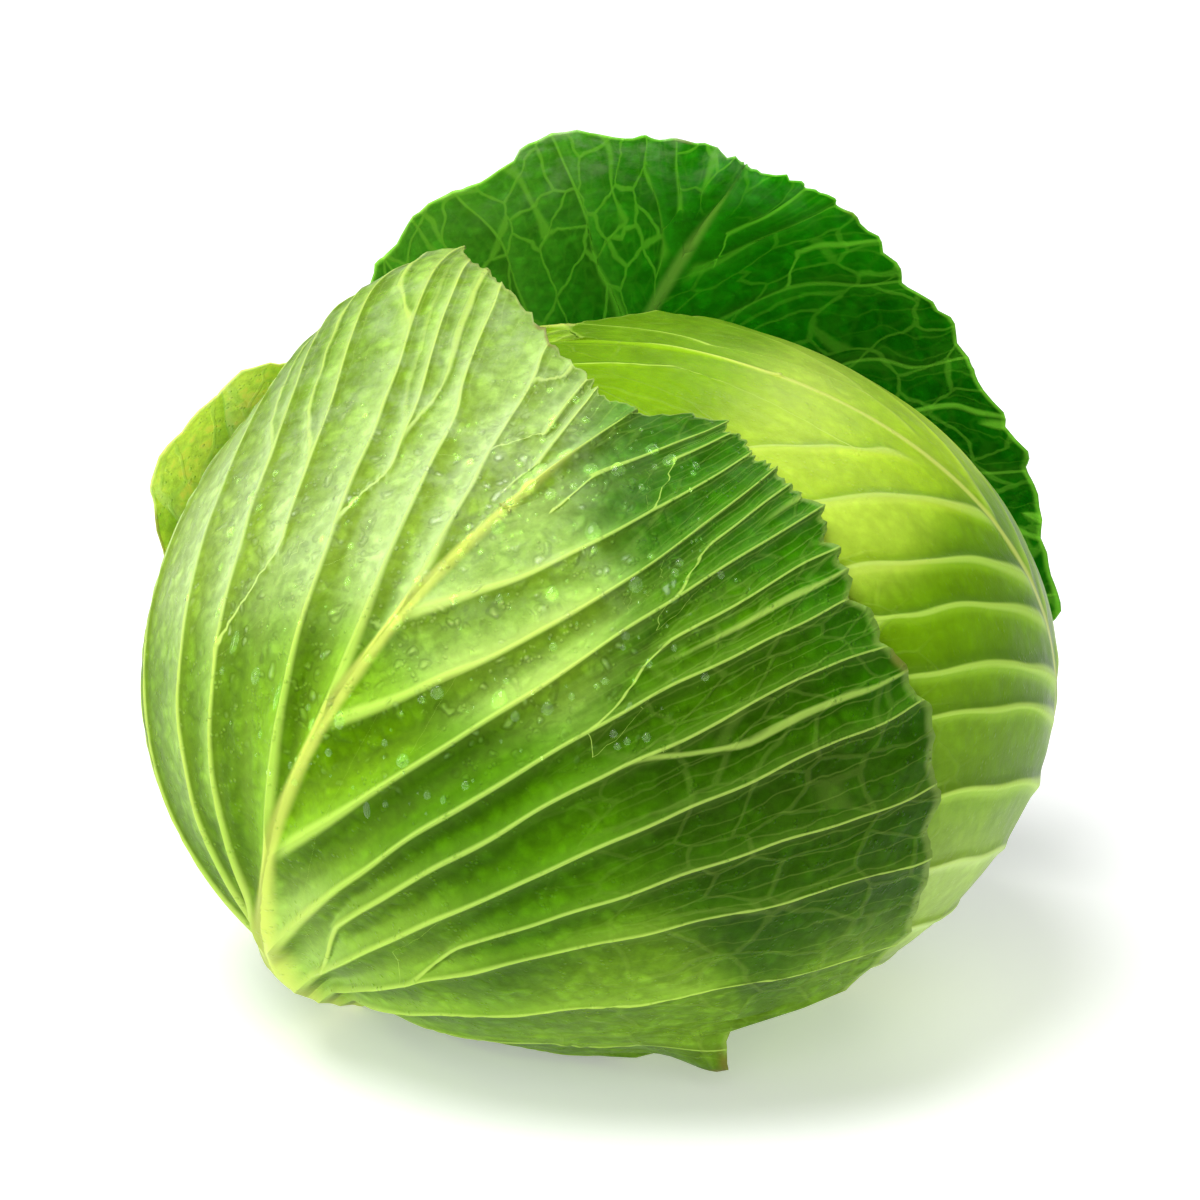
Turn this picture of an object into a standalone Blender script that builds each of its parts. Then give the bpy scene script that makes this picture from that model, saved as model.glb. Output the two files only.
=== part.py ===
"""A green cabbage: a tight head on its cut stalk, with four loose leaves round it.

Metres, with +Z up. The origin is the middle of the flat spot that the cabbage rests on.
Every leaf is drawn flat, as if pressed, then wrapped round the head. On the flat leaf x runs
along the midrib, from the stalk to the tip, and y runs across it. Both are zero at the leaf's middle.
"""

import math
from collections import namedtuple

import bmesh
import bpy
import numpy as np
from mathutils import Vector, noise

MM = 0.001

# The head is an ellipsoid, flattened where it rests.
HEAD_HALF = np.array((90.5, 86.0, 70.0)) * MM
HEAD_CENTRE = np.array((1.0, 0.0, 71.0)) * MM
HEAD_REST_Z = 3.0 * MM
HEAD_COLUMNS = 48
HEAD_ROWS = 26
WRAP_RADIUS = 84.0 * MM

# The stalk points down and to the left, so that the head lies tilted.
STALK_WAY = np.array((-0.42, 0.13, -0.90))
FRONT_WAY = np.array((-0.60, -0.79, 0.16))
STALK_RADIUS = 15.0 * MM
STALK_INNER = 64.6 * MM
STALK_OUTER = 71.2 * MM
STALK_EDGE = 1.2 * MM
DIMPLE_RADIUS = 62.5 * MM
DIMPLE_SPREAD = math.radians(20.0)

LEAF_THICK = 1.0 * MM
THICKENED = 0.6
ROW_CROWDING = 1.6
COLUMN_GAP = 11.0
RIB_FLANK = 0.30
FAN_COLUMNS = 4
TOOTH_LENGTH = 1.6 * MM
TOOTH_PITCH = 5.0 * MM
TOOTH_FINENESS = 1.7
# Each side of a leaf, and each leaf, reads another part of the pattern of teeth.
TOOTH_SIDE_STEP = 3.1
TOOTH_TURN_STEP = 0.37

# Shares of the vein's length over which a rib comes up, counted from where it begins, and how much it thins.
RIB_RISES = (-0.02, 0.12)
RIB_THINS = 0.65

# Shares of the midrib's length, from the stalk: it thins over the first two, and fades out over the last two.
MIDRIB_THINS = (0.2, 0.55)
MIDRIB_FADES = (0.8, 1.1)
MIDRIB_LEAST = 0.2
MIDRIB_THIN_WIDTH = 1.6
MIDRIB_BROAD_WIDTH = 5.2

# Shares of the vein's length from which flares and ruffles lift the blade, and the ruffles' own waves.
FLARE_FROM = 0.35
RUFFLE_FROM = 0.6
WAVE_FINENESS = 0.045
WAVE_TURN_STEP = 0.11
WAVE_DEPTH = 1.6

# start: where the vein leaves the midrib, in mm from the leaf's middle. Past the midrib's end veins fan out.
# length: in mm, to the leaf's edge. angle: from the midrib, in degrees. bend: degrees turned in 100 mm.
Vein = namedtuple("Vein", "start length angle bend")

# A rib is raised along the veins that start there, from a share of their length outwards, on each side.
Rib = namedtuple("Rib", "start from_left from_right height")

# A flare lifts the edge of the leaf off the head, round the flat point x, y, in mm.
Flare = namedtuple("Flare", "x y wide_x wide_y height")

Leaf = namedtuple(
    "Leaf",
    "name turn middle midrib_end left right ribs midrib_height lift flares ruffle rows colour",
)


def unit(vector):
    return vector / np.linalg.norm(vector)


STALK_AXIS = unit(STALK_WAY)
FRONT_AXIS = unit(FRONT_WAY - STALK_AXIS * (FRONT_WAY @ STALK_AXIS))
SIDE_AXIS = np.cross(STALK_AXIS, FRONT_AXIS)


def smooth(low, high, value):
    """0 below low, 1 above high, and a smooth rise between."""
    t = min(1.0, max(0.0, (value - low) / (high - low)))
    return t * t * (3 - 2 * t)


def bump(value, width):
    return math.exp(-((value / width) ** 2))


def front_lift(x, y):
    """Height of the front leaf over the head, in mm: it lies over the wrapper leaf on its right."""
    return 6.6 - 1.0 * smooth(20, 70, y)


def wrapper_lift(x, y):
    return 4.0


def left_lift(x, y):
    """The left leaf lies over the front one's edge, and stands off on the side that faces it."""
    return 7.8 + 11.0 * smooth(0, 40, -y) * smooth(-36, 8, x)


def back_lift(x, y):
    """The back leaf leaves the head as it rises, and stands up behind it."""
    rise = 7.0 * smooth(-95, 0, x) + 25.0 * smooth(0, 80, x)
    return 9.4 + rise * (1 - 0.5 * smooth(10, 90, y))


FRONT_LEAF = Leaf(
    name="front_leaf",
    turn=0,
    middle=85,
    midrib_end=60,
    left=(
        Vein(80, 36, 0, 0),
        Vein(60, 36, 18, 12),
        Vein(33, 71, 16, 38),
        Vein(9, 108, 12, 48),
        Vein(-22, 146, 12, 40),
        Vein(-52, 160, 18, 34),
        Vein(-62, 160, 28, 25),
        Vein(-72, 156, 40, 16),
        Vein(-78, 128, 52, 10),
        Vein(-84, 88, 64, 6),
        Vein(-92, 44, 76, 0),
        Vein(-107, 13, 95, 0),
    ),
    right=(
        Vein(80, 36, 0, 0),
        Vein(60, 52, 26, -24),
        Vein(33, 79, 40, -45),
        Vein(9, 104, 42, -40),
        Vein(-22, 134, 31, -12),
        Vein(-52, 154, 23, 6),
        Vein(-72, 172, 27, 9),
        Vein(-83, 168, 28, 21),
        Vein(-91, 160, 33, 26),
        Vein(-95, 146, 39, 27),
        Vein(-97, 118, 42, 26),
        Vein(-99, 112, 48, 26),
        Vein(-101, 98, 54, 22),
        Vein(-104, 44, 70, 10),
        Vein(-107, 13, 95, 0),
    ),
    ribs=(
        Rib(52, 0.6, 0.72, 0.7),
        Rib(33, 0.0, 0.0, 0.9),
        Rib(9, 0.0, 0.0, 1.2),
        Rib(-8, 0.5, 0.78, 0.8),
        Rib(-22, 0.0, 0.0, 1.4),
        Rib(-38, 0.45, 0.7, 1.0),
        Rib(-52, 0.0, 0.0, 1.5),
        Rib(-61, 0.0, 0.2, 1.3),
        Rib(-72, 0.0, 0.0, 1.5),
        Rib(-78, 0.0, 0.4, 1.1),
        Rib(-83, 0.0, 0.0, 1.5),
        Rib(-91, 0.0, 0.0, 1.4),
        Rib(-98, 1.0, 0.0, 1.2),
        Rib(-102, 1.0, 0.0, 0.8),
        Rib(-105, 1.0, 0.0, 0.6),
    ),
    midrib_height=7.0,
    lift=front_lift,
    flares=(Flare(72, 90, 48, 50, 15.0), Flare(-50, -100, 11, 12, 7.0)),
    ruffle=0.5,
    rows=14,
    colour=(0.30, 0.52, 0.07),
)

WRAPPER_LEAF = Leaf(
    name="wrapper_leaf",
    turn=-122,
    middle=95,
    midrib_end=120,
    left=(
        Vein(150, 50, 0, 0),
        Vein(120, 80, 30, 20),
        Vein(88, 96, 44, 36),
        Vein(66, 98, 47, 52),
        Vein(45, 96, 52, 56),
        Vein(15, 92, 54, 58),
        Vein(-20, 88, 66, 42),
        Vein(-45, 80, 74, 30),
        Vein(-70, 72, 80, 20),
        Vein(-95, 54, 82, 10),
        Vein(-108, 30, 85, 0),
        Vein(-114, 14, 90, 0),
        Vein(-118, 9, 95, 0),
    ),
    right=(
        Vein(150, 46, 0, 0),
        Vein(120, 56, 34, 0),
        Vein(88, 78, 46, 10),
        Vein(66, 90, 50, 20),
        Vein(45, 96, 54, 30),
        Vein(15, 94, 56, 36),
        Vein(-20, 88, 65, 32),
        Vein(-45, 80, 72, 28),
        Vein(-70, 72, 80, 20),
        Vein(-95, 54, 82, 10),
        Vein(-108, 30, 85, 0),
        Vein(-114, 14, 90, 0),
        Vein(-118, 9, 95, 0),
    ),
    ribs=(
        Rib(82, 0.1, 0.1, 0.5),
        Rib(67, 0.0, 0.0, 0.7),
        Rib(53, 0.0, 0.0, 0.8),
        Rib(44, 0.0, 0.0, 0.6),
        Rib(32, 0.0, 0.0, 0.9),
        Rib(24, 0.0, 0.0, 0.6),
        Rib(10, 0.0, 0.0, 0.9),
        Rib(-4, 0.0, 0.0, 0.7),
        Rib(-18, 0.0, 0.0, 0.9),
        Rib(-32, 0.0, 0.0, 0.7),
        Rib(-52, 0.0, 0.0, 0.8),
        Rib(-75, 0.0, 0.0, 0.7),
        Rib(-95, 0.0, 0.0, 0.6),
    ),
    midrib_height=0.8,
    lift=wrapper_lift,
    flares=(),
    ruffle=0.0,
    rows=11,
    colour=(0.45, 0.60, 0.10),
)

BACK_LEAF = Leaf(
    name="back_leaf",
    turn=136,
    middle=85,
    midrib_end=48,
    left=(
        Vein(68, 23, 0, 0),
        Vein(48, 27, 28, 0),
        Vein(30, 48, 42, 0),
        Vein(5, 82, 50, 0),
        Vein(-25, 112, 56, 5),
        Vein(-50, 98, 60, 10),
        Vein(-75, 74, 66, 10),
        Vein(-92, 40, 72, 0),
        Vein(-100, 14, 82, 0),
        Vein(-106, 7, 95, 0),
    ),
    right=(
        Vein(68, 23, 0, 0),
        Vein(48, 32, 28, 0),
        Vein(30, 51, 42, 0),
        Vein(5, 66, 52, 0),
        Vein(-25, 71, 58, 5),
        Vein(-50, 62, 62, 5),
        Vein(-75, 44, 66, 0),
        Vein(-92, 24, 72, 0),
        Vein(-100, 10, 82, 0),
        Vein(-106, 7, 95, 0),
    ),
    ribs=(
        Rib(42, 0.1, 0.1, 0.8),
        Rib(28, 0.0, 0.0, 1.0),
        Rib(12, 0.0, 0.0, 1.2),
        Rib(-5, 0.0, 0.0, 1.3),
        Rib(-22, 0.0, 0.0, 1.4),
        Rib(-40, 0.0, 0.0, 1.4),
        Rib(-58, 0.0, 0.0, 1.3),
        Rib(-76, 0.0, 0.0, 1.1),
    ),
    midrib_height=3.0,
    lift=back_lift,
    flares=(),
    ruffle=2.2,
    rows=12,
    colour=(0.03, 0.22, 0.02),
)

LEFT_LEAF = Leaf(
    name="left_leaf",
    turn=92,
    middle=80,
    midrib_end=12,
    left=(
        Vein(28, 9, 0, 0),
        Vein(12, 16, 26, 0),
        Vein(-4, 34, 45, 0),
        Vein(-25, 40, 55, 5),
        Vein(-50, 34, 60, 5),
        Vein(-75, 22, 66, 0),
        Vein(-92, 9, 78, 0),
        Vein(-99, 6, 95, 0),
    ),
    right=(
        Vein(28, 9, 0, 0),
        Vein(12, 18, 26, 0),
        Vein(-4, 42, 45, 0),
        Vein(-22, 40, 55, 5),
        Vein(-38, 26, 58, 5),
        Vein(-55, 20, 62, 5),
        Vein(-75, 16, 66, 0),
        Vein(-92, 11, 78, 0),
        Vein(-99, 8, 95, 0),
    ),
    ribs=(
        Rib(6, 0.1, 0.1, 0.7),
        Rib(-8, 0.0, 0.0, 0.9),
        Rib(-24, 0.0, 0.0, 1.0),
        Rib(-46, 0.0, 0.0, 1.0),
        Rib(-68, 0.0, 0.0, 0.9),
    ),
    midrib_height=1.6,
    lift=left_lift,
    flares=(),
    ruffle=1.0,
    rows=9,
    colour=(0.55, 0.70, 0.12),
)


def clear_scene():
    for thing in list(bpy.data.objects):
        bpy.data.objects.remove(thing)


def plain_material(name, colour, roughness):
    made = bpy.data.materials.new(name)
    made.use_nodes = True
    shader = made.node_tree.nodes["Principled BSDF"]
    shader.inputs["Base Color"].default_value = (*colour, 1.0)
    shader.inputs["Roughness"].default_value = roughness
    shader.inputs["Metallic"].default_value = 0.0
    return made


def head_radius(way):
    """From the head's centre to its surface along a unit direction, without the dimple."""
    return 1.0 / np.linalg.norm(way / HEAD_HALF)


def leaf_axes(leaf):
    """Directions from the head's centre: to the leaf's middle, along its midrib, and across it."""
    turn = math.radians(leaf.turn)
    middle = math.radians(leaf.middle)
    outwards = FRONT_AXIS * math.cos(turn) + SIDE_AXIS * math.sin(turn)
    to_middle = STALK_AXIS * math.cos(middle) + outwards * math.sin(middle)
    along = -STALK_AXIS * math.sin(middle) + outwards * math.cos(middle)
    return to_middle, along, np.cross(STALK_AXIS, outwards)


def wrap(axes, x, y):
    """The direction in which a point of the flat leaf, in mm, comes to lie."""
    to_middle, along, across = axes
    far = math.hypot(x, y)
    if far < 1e-9:
        return to_middle
    angle = far * MM / WRAP_RADIUS
    return to_middle * math.cos(angle) + (along * x + across * y) * (math.sin(angle) / far)


def press(point, rest_z):
    """Nothing sinks below the surface that the cabbage rests on."""
    point[2] = max(point[2], rest_z)
    return point


def vein_at(veins, start):
    """The vein that starts there, between those of the table."""
    starts = [vein.start for vein in veins][::-1]
    return Vein(start, *(np.interp(start, starts, [vein[k] for vein in veins][::-1]) for k in (1, 2, 3)))


def vein_point(leaf, side, start, share, tooth=0.0):
    """The flat point at a share of the length of a vein. side is 1 on the left and -1 on the right."""
    vein = vein_at(leaf.left if side > 0 else leaf.right, start)
    reach = (vein.length + tooth) * share
    turn = math.radians(vein.bend) / 100
    way = math.radians(vein.angle)
    if abs(turn) < 1e-6:
        ahead, aside = reach * math.cos(way), reach * math.sin(way)
    else:
        ahead = (math.sin(way + turn * reach) - math.sin(way)) / turn
        aside = (math.cos(way) - math.cos(way + turn * reach)) / turn
    return min(start, leaf.midrib_end) + ahead, side * aside


def column_starts(leaf):
    """The veins that the leaf's columns of faces follow: each rib and its two flanks, from tip to base."""
    tip = leaf.left[0].start
    base = leaf.left[-1].start
    fan = np.linspace(tip, leaf.midrib_end, FAN_COLUMNS, endpoint=False)
    starts = set(np.round(fan, 2)) | {float(base)}
    rows = [rib.start for rib in leaf.ribs]
    for before, here, after in zip([leaf.midrib_end, *rows], rows, [*rows[1:], base]):
        starts |= {
            round(here + RIB_FLANK * (before - here), 2),
            float(here),
            round(here - RIB_FLANK * (here - after), 2),
        }
    for above, below in zip(sorted(starts, reverse=True), sorted(starts, reverse=True)[1:]):
        pieces = math.ceil((above - below) / COLUMN_GAP)
        starts |= {round(above + (below - above) * k / pieces, 2) for k in range(1, pieces)}
    return sorted(starts, reverse=True)


def rib_height(leaf, side, start, share):
    """How far a rib is raised there, in mm. It thins out towards the edge of the leaf."""
    for rib in leaf.ribs:
        if abs(rib.start - start) < 1e-6:
            begins = rib.from_left if side > 0 else rib.from_right
            risen = smooth(begins + RIB_RISES[0], begins + RIB_RISES[1], share)
            return rib.height * risen * (1 - RIB_THINS * share)
    return 0.0


def midrib_rise(leaf, x, y):
    """The midrib stands proud and broad near the stalk, and thins towards the tip. In mm."""
    base, tip = leaf.left[-1].start, leaf.midrib_end
    along = (x - base) / (tip - base)
    thick = 1 - smooth(*MIDRIB_THINS, along)
    height = MIDRIB_LEAST + (1 - MIDRIB_LEAST) * thick
    width = MIDRIB_THIN_WIDTH + (MIDRIB_BROAD_WIDTH - MIDRIB_THIN_WIDTH) * thick
    return leaf.midrib_height * height * bump(y, width) * (1 - smooth(*MIDRIB_FADES, along))


def edge_tooth(leaf, side, start):
    """The edge is cut into small uneven teeth, in mm."""
    place = Vector((start * MM / TOOTH_PITCH, side * TOOTH_SIDE_STEP, leaf.turn * TOOTH_TURN_STEP))
    return noise.noise(place * TOOTH_FINENESS) * 2 * TOOTH_LENGTH / MM


def edge_lift(leaf, x, y, share):
    """The flares and ruffles that raise the leaf's edge, in mm."""
    lifted = sum(f.height * bump(x - f.x, f.wide_x) * bump(y - f.y, f.wide_y) for f in leaf.flares)
    wave = noise.noise(Vector((x * WAVE_FINENESS, y * WAVE_FINENESS, leaf.turn * WAVE_TURN_STEP)))
    ruffled = leaf.ruffle * (1 + WAVE_DEPTH * wave)
    return lifted * smooth(FLARE_FROM, 1.0, share) + ruffled * smooth(RUFFLE_FROM, 1.0, share)


def leaf_mesh(leaf):
    """One sheet, from a grid: its columns follow the veins, and its first row closes along the midrib.

    It comes with how much thicker than the blade each point is, as where the midrib stands proud.
    """
    starts = column_starts(leaf)
    last = len(starts) - 1
    axes = leaf_axes(leaf)
    sheet = bmesh.new()
    thicker = sheet.verts.layers.float.new("thicker")
    bmesh.ops.create_grid(sheet, x_segments=2 * last, y_segments=leaf.rows, size=1.0)
    seam = []
    for vert in sheet.verts:
        column = round((vert.co.x + 1) * last) - last
        row = round((vert.co.y + 1) / 2 * leaf.rows)
        side = 1 if column > 0 else -1
        start = starts[abs(column)]
        share = (row / leaf.rows) ** ROW_CROWDING
        x, y = vein_point(leaf, side, start, share, edge_tooth(leaf, side if column else 0, start))
        raised = rib_height(leaf, side, start, share) + midrib_rise(leaf, x, y)
        lift = leaf.lift(x, y) + edge_lift(leaf, x, y, share) + raised
        way = wrap(axes, x, y)
        vert.co = Vector(press(HEAD_CENTRE + way * (head_radius(way) + lift * MM), 0.0))
        vert[thicker] = raised * THICKENED
        if row == 0:
            seam.append(vert)
    bmesh.ops.remove_doubles(sheet, verts=seam, dist=1e-6)
    bmesh.ops.dissolve_degenerate(sheet, edges=sheet.edges, dist=1e-6)
    bmesh.ops.triangulate(sheet, faces=sheet.faces)
    bmesh.ops.recalc_face_normals(sheet, faces=sheet.faces)
    middle = Vector(HEAD_CENTRE)
    facing_in = sum(face.normal.dot(face.calc_center_median() - middle) for face in sheet.faces) < 0
    if facing_in:
        bmesh.ops.reverse_faces(sheet, faces=sheet.faces)
    mesh = bpy.data.meshes.new(leaf.name)
    sheet.to_mesh(mesh)
    sheet.free()
    mesh.shade_smooth()
    return mesh


def make_leaf(leaf, collection):
    made = bpy.data.objects.new(leaf.name, leaf_mesh(leaf))
    made.data.materials.append(plain_material(leaf.name, leaf.colour, 0.45))
    collection.objects.link(made)
    extra = [value.value for value in made.data.attributes["thicker"].data]
    thickest = LEAF_THICK / MM + max(extra)
    group = made.vertex_groups.new(name="wall")
    for index, more in enumerate(extra):
        group.add([index], (LEAF_THICK / MM + more) / thickest, "REPLACE")
    wall = made.modifiers.new("wall", "SOLIDIFY")
    wall.thickness = thickest * MM
    wall.vertex_group = group.name
    wall.offset = -1.0
    return made


# The head's own leaves show as low steps: each covers a round cap of the head, over the one before.
HEAD_LEAVES = 6
HEAD_LEAF_TURN = math.radians(137.5)
HEAD_LEAF_MIDDLE = math.radians(88.0)
HEAD_LEAF_REACH = math.radians(84.0)
HEAD_STEP = 0.256 * MM
HEAD_LEAF_FIRST = math.radians(40.0)


def head_reach(way):
    """From the head's centre to its surface, with the steps of its leaves and the stalk's dimple."""
    rise = 0.0
    for count in range(HEAD_LEAVES):
        turn = HEAD_LEAF_FIRST + count * HEAD_LEAF_TURN
        outwards = FRONT_AXIS * math.cos(turn) + SIDE_AXIS * math.sin(turn)
        middle = STALK_AXIS * math.cos(HEAD_LEAF_MIDDLE) + outwards * math.sin(HEAD_LEAF_MIDDLE)
        away = math.acos(max(-1.0, min(1.0, float(way @ middle))))
        if away < HEAD_LEAF_REACH:
            rise = HEAD_STEP * (count + 1)
    from_stalk = math.acos(max(-1.0, min(1.0, float(way @ STALK_AXIS))))
    dimple = math.exp(-((from_stalk / DIMPLE_SPREAD) ** 4))
    return (head_radius(way) + rise) * (1 - dimple) + DIMPLE_RADIUS * dimple


def make_head(collection):
    """A ball whose rows run round the stalk, moved out to the head's surface."""
    ball = bmesh.new()
    bmesh.ops.create_uvsphere(ball, u_segments=HEAD_COLUMNS, v_segments=HEAD_ROWS, radius=1.0)
    for vert in ball.verts:
        way = SIDE_AXIS * vert.co.x + FRONT_AXIS * vert.co.y + STALK_AXIS * vert.co.z
        way = unit(way)
        vert.co = Vector(press(HEAD_CENTRE + way * head_reach(way), HEAD_REST_Z))
    bmesh.ops.triangulate(ball, faces=ball.faces)
    bmesh.ops.recalc_face_normals(ball, faces=ball.faces)
    mesh = bpy.data.meshes.new("head")
    ball.to_mesh(mesh)
    ball.free()
    mesh.shade_smooth()
    made = bpy.data.objects.new("head", mesh)
    made.data.materials.append(plain_material("head", (0.55, 0.68, 0.22), 0.45))
    collection.objects.link(made)
    return made


def make_stalk(collection):
    """The cut butt of the stalk, held in the head's dimple."""
    length = STALK_OUTER - STALK_INNER
    middle = HEAD_CENTRE + STALK_AXIS * (STALK_OUTER + STALK_INNER) / 2
    bpy.ops.mesh.primitive_cylinder_add(vertices=28, radius=STALK_RADIUS, depth=length)
    made = bpy.context.object
    made.name = made.data.name = "stalk"
    made.location = Vector(middle)
    made.rotation_mode = "QUATERNION"
    made.rotation_quaternion = Vector(STALK_AXIS).to_track_quat("Z", "Y")
    edge = made.modifiers.new("edge", "BEVEL")
    edge.width = STALK_EDGE
    edge.segments = 2
    made.data.materials.append(plain_material("stalk", (0.75, 0.78, 0.55), 0.6))
    for owner in list(made.users_collection):
        owner.objects.unlink(made)
    collection.objects.link(made)
    return made


def main():
    clear_scene()
    cabbage = bpy.data.collections.new("cabbage_head")
    bpy.context.scene.collection.children.link(cabbage)
    make_stalk(cabbage)
    make_head(cabbage)
    for leaf in (WRAPPER_LEAF, LEFT_LEAF, FRONT_LEAF, BACK_LEAF):
        make_leaf(leaf, cabbage)


main()
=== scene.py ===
"""The looks of a green cabbage: its leaves, head and stalk, wet with drops, on a pale floor.

World lengths are in metres, with +Z up. Every leaf is drawn flat, in millimetres, and then wrapped
round the head. On the flat leaf x runs along the midrib, from the stalk to the tip, and y across it.
"""

import math
import random
from collections import namedtuple

import bmesh
import bpy
import numpy as np
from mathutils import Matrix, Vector, noise


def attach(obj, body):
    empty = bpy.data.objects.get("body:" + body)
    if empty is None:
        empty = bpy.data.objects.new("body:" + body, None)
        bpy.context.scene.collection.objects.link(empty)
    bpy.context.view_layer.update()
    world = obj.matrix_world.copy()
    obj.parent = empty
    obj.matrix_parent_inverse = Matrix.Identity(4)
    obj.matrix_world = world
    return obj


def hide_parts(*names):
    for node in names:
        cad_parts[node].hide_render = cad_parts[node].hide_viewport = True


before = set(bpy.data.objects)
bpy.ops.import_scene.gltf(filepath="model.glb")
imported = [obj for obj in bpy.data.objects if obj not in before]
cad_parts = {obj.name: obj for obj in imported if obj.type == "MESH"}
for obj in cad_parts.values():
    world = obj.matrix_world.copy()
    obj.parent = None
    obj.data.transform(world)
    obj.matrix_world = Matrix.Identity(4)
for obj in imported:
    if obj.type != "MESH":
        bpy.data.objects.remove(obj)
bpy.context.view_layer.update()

MM = 0.001

# The head is an ellipsoid, flattened where it rests.
HEAD_HALF = np.array((90.5, 86.0, 70.0)) * MM
HEAD_CENTRE = np.array((1.0, 0.0, 71.0)) * MM
HEAD_REST_Z = 3.0 * MM
WRAP_RADIUS = 84.0 * MM
STALK_WAY = np.array((-0.42, 0.13, -0.90))
FRONT_WAY = np.array((-0.60, -0.79, 0.16))
STALK_RADIUS = 15.0 * MM
STALK_INNER = 64.6 * MM
STALK_OUTER = 71.2 * MM
DIMPLE_RADIUS = 62.5 * MM
DIMPLE_SPREAD = math.radians(20.0)

# The view from the front, which also names places on the cabbage: mm to its right, and mm up the view.
VIEW_TILT = math.radians(20.0)
VIEW_BACK = Vector((0.0, -math.cos(VIEW_TILT), math.sin(VIEW_TILT)))
VIEW_UP = Vector((0.0, math.sin(VIEW_TILT), math.cos(VIEW_TILT)))
VIEW_MIDDLE = Vector((0.0, 0.0, 71.0 * MM))
VIEW_LIFT = 14.7 * MM
VIEW_WIDTH = 252.0 * MM
CAMERA_AWAY = 1.15
SENSOR = 36.0

# A blade's thickness in mm, the share of it that is left at the edge, and the least of it near the floor.
LEAF_THICK = 0.9
EDGE_THICK = 0.5
LEAST_THICK = 0.1
# How much of the height of its ribs and midrib a blade is thicker by.
THICKENED = 0.6
# The long teeth of a leaf's edge, in mm, and how quickly they change along it.
TOOTH_LENGTH = 2.08
TOOTH_PITCH = 0.34
# Its short teeth: their height and length in mm, and two numbers that set each kind apart.
SHORT_TEETH = ((1.6, 6.0, 5.3, 0.7), (0.8, 2.6, 1.0, 1.0), (0.4, 1.3, 2.0, 1.0))

# Shares of the midrib's length, from the stalk: it thins over the first two, and fades out over the last two.
MIDRIB_THINS = (0.2, 0.55)
MIDRIB_FADES = (1.0, 1.3)
MIDRIB_LEAST = 0.2
MIDRIB_THIN_WIDTH = 1.6
MIDRIB_BROAD_WIDTH = 5.2

# The ribs that run out from the midrib's end to the tip: their heights, and the shares where they begin.
TIP_HEIGHTS = (1.0, 0.5)
TIP_BEGINS = (0.0, 0.35)
# Ribs that begin between these shares of a vein's length branch off the next one.
BRANCHES = (0.2, 0.9)
NO_BRANCH = 60.0
# By how much a rib gets lower and narrower towards the leaf's edge.
RIB_TAPER = 0.65
# A share of the way up the veins in which a rib begins to show.
BEGIN_REACH = 0.07

# Where the fine columns of a leaf lie between one rib and the next: close together at each rib.
COLUMN_PLACES = (0.0, 0.03, 0.07, 0.13, 0.21, 0.31, 0.42, 0.5, 0.58, 0.69, 0.79, 0.87, 0.93, 0.97)
ROW_CROWDING = 1.25

Vein = namedtuple("Vein", "start length angle bend")
Rib = namedtuple("Rib", "start from_left from_right height")
Flare = namedtuple("Flare", "x y wide_x wide_y height")

# A tone colours the leaf round a place in the front view: mm to the right, mm up, and how far it reaches.
# Some tones are painted light and painted shade, not the leaf's own colour.
Tone = namedtuple("Tone", "across up wide colour")

Leaf = namedtuple(
    "Leaf",
    "name turn middle midrib_end left right ribs midrib_height lift flares ruffle rows rib_width sag crest"
    " puff wander fork_from fork_height forks_left forks_right bold_left bold_right net_left net_right wet",
)


def screen(red, green, blue):
    """A colour as a screen shows it, from 0 to 255, in linear light."""
    return tuple(
        value / 255 / 12.92 if value <= 10 else ((value / 255 + 0.055) / 1.055) ** 2.4
        for value in (red, green, blue)
    )


WHITE_GREEN = screen(174, 200, 112)
PALE_GREEN = screen(136, 172, 62)
SOFT_GREEN = screen(112, 150, 30)
FRESH_GREEN = screen(104, 148, 0)
LEAF_GREEN = screen(66, 114, 0)
DEEP_GREEN = screen(42, 84, 0)
VIVID_GREEN = screen(46, 108, 0)
YELLOW_GREEN = screen(124, 166, 4)
SUN_YELLOW = screen(164, 200, 24)
CREAM_YELLOW = screen(184, 212, 70)
BRIGHT_LEAF = screen(104, 186, 54)
DARK_GREEN = screen(34, 154, 6)
BLACK_GREEN = screen(14, 96, 2)
# A bright yellow, painted as the glow of a leaf lit from behind.
PAINTED_BACKLIGHT_YELLOW = screen(232, 255, 124)
RIB_LIME = screen(188, 215, 102)
RIB_CREAM = screen(200, 216, 96)
# The grey of the wax, also used as a painted highlight on the upper parts of leaves.
BLOOM_AND_GLARE_GREY = screen(196, 212, 176)
EDGE_BROWN = screen(120, 96, 40)

# The palest that veins and the wax between them get, however light the blade is.
VEIN_LIMIT = (0.52, 0.72, 0.36)
WASH_LIMIT = (0.50, 0.70, 0.36)


def unit(vector):
    return vector / np.linalg.norm(vector)


STALK_AXIS = unit(STALK_WAY)
FRONT_AXIS = unit(FRONT_WAY - STALK_AXIS * (FRONT_WAY @ STALK_AXIS))
SIDE_AXIS = np.cross(STALK_AXIS, FRONT_AXIS)


def smooth(low, high, value):
    """0 below low, 1 above high, and a smooth rise between."""
    t = np.clip((value - low) / (high - low), 0.0, 1.0)
    return t * t * (3 - 2 * t)


def bump(value, width):
    return np.exp(-((value / width) ** 2))


def rough(*places):
    """Smooth noise from -1 to 1 at each place, given as up to three lists of coordinates."""
    spread = np.broadcast_arrays(*places, *[0.0] * (3 - len(places)))
    flat = np.stack([np.ravel(part) for part in spread], axis=1)
    return np.array([noise.noise(point) for point in flat.tolist()]).reshape(spread[0].shape)


def front_lift(x, y):
    """Height of the front leaf over the head, in mm: it lies over the wrapper leaf on its right."""
    return 6.6 - 1.0 * smooth(20, 70, y)


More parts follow.
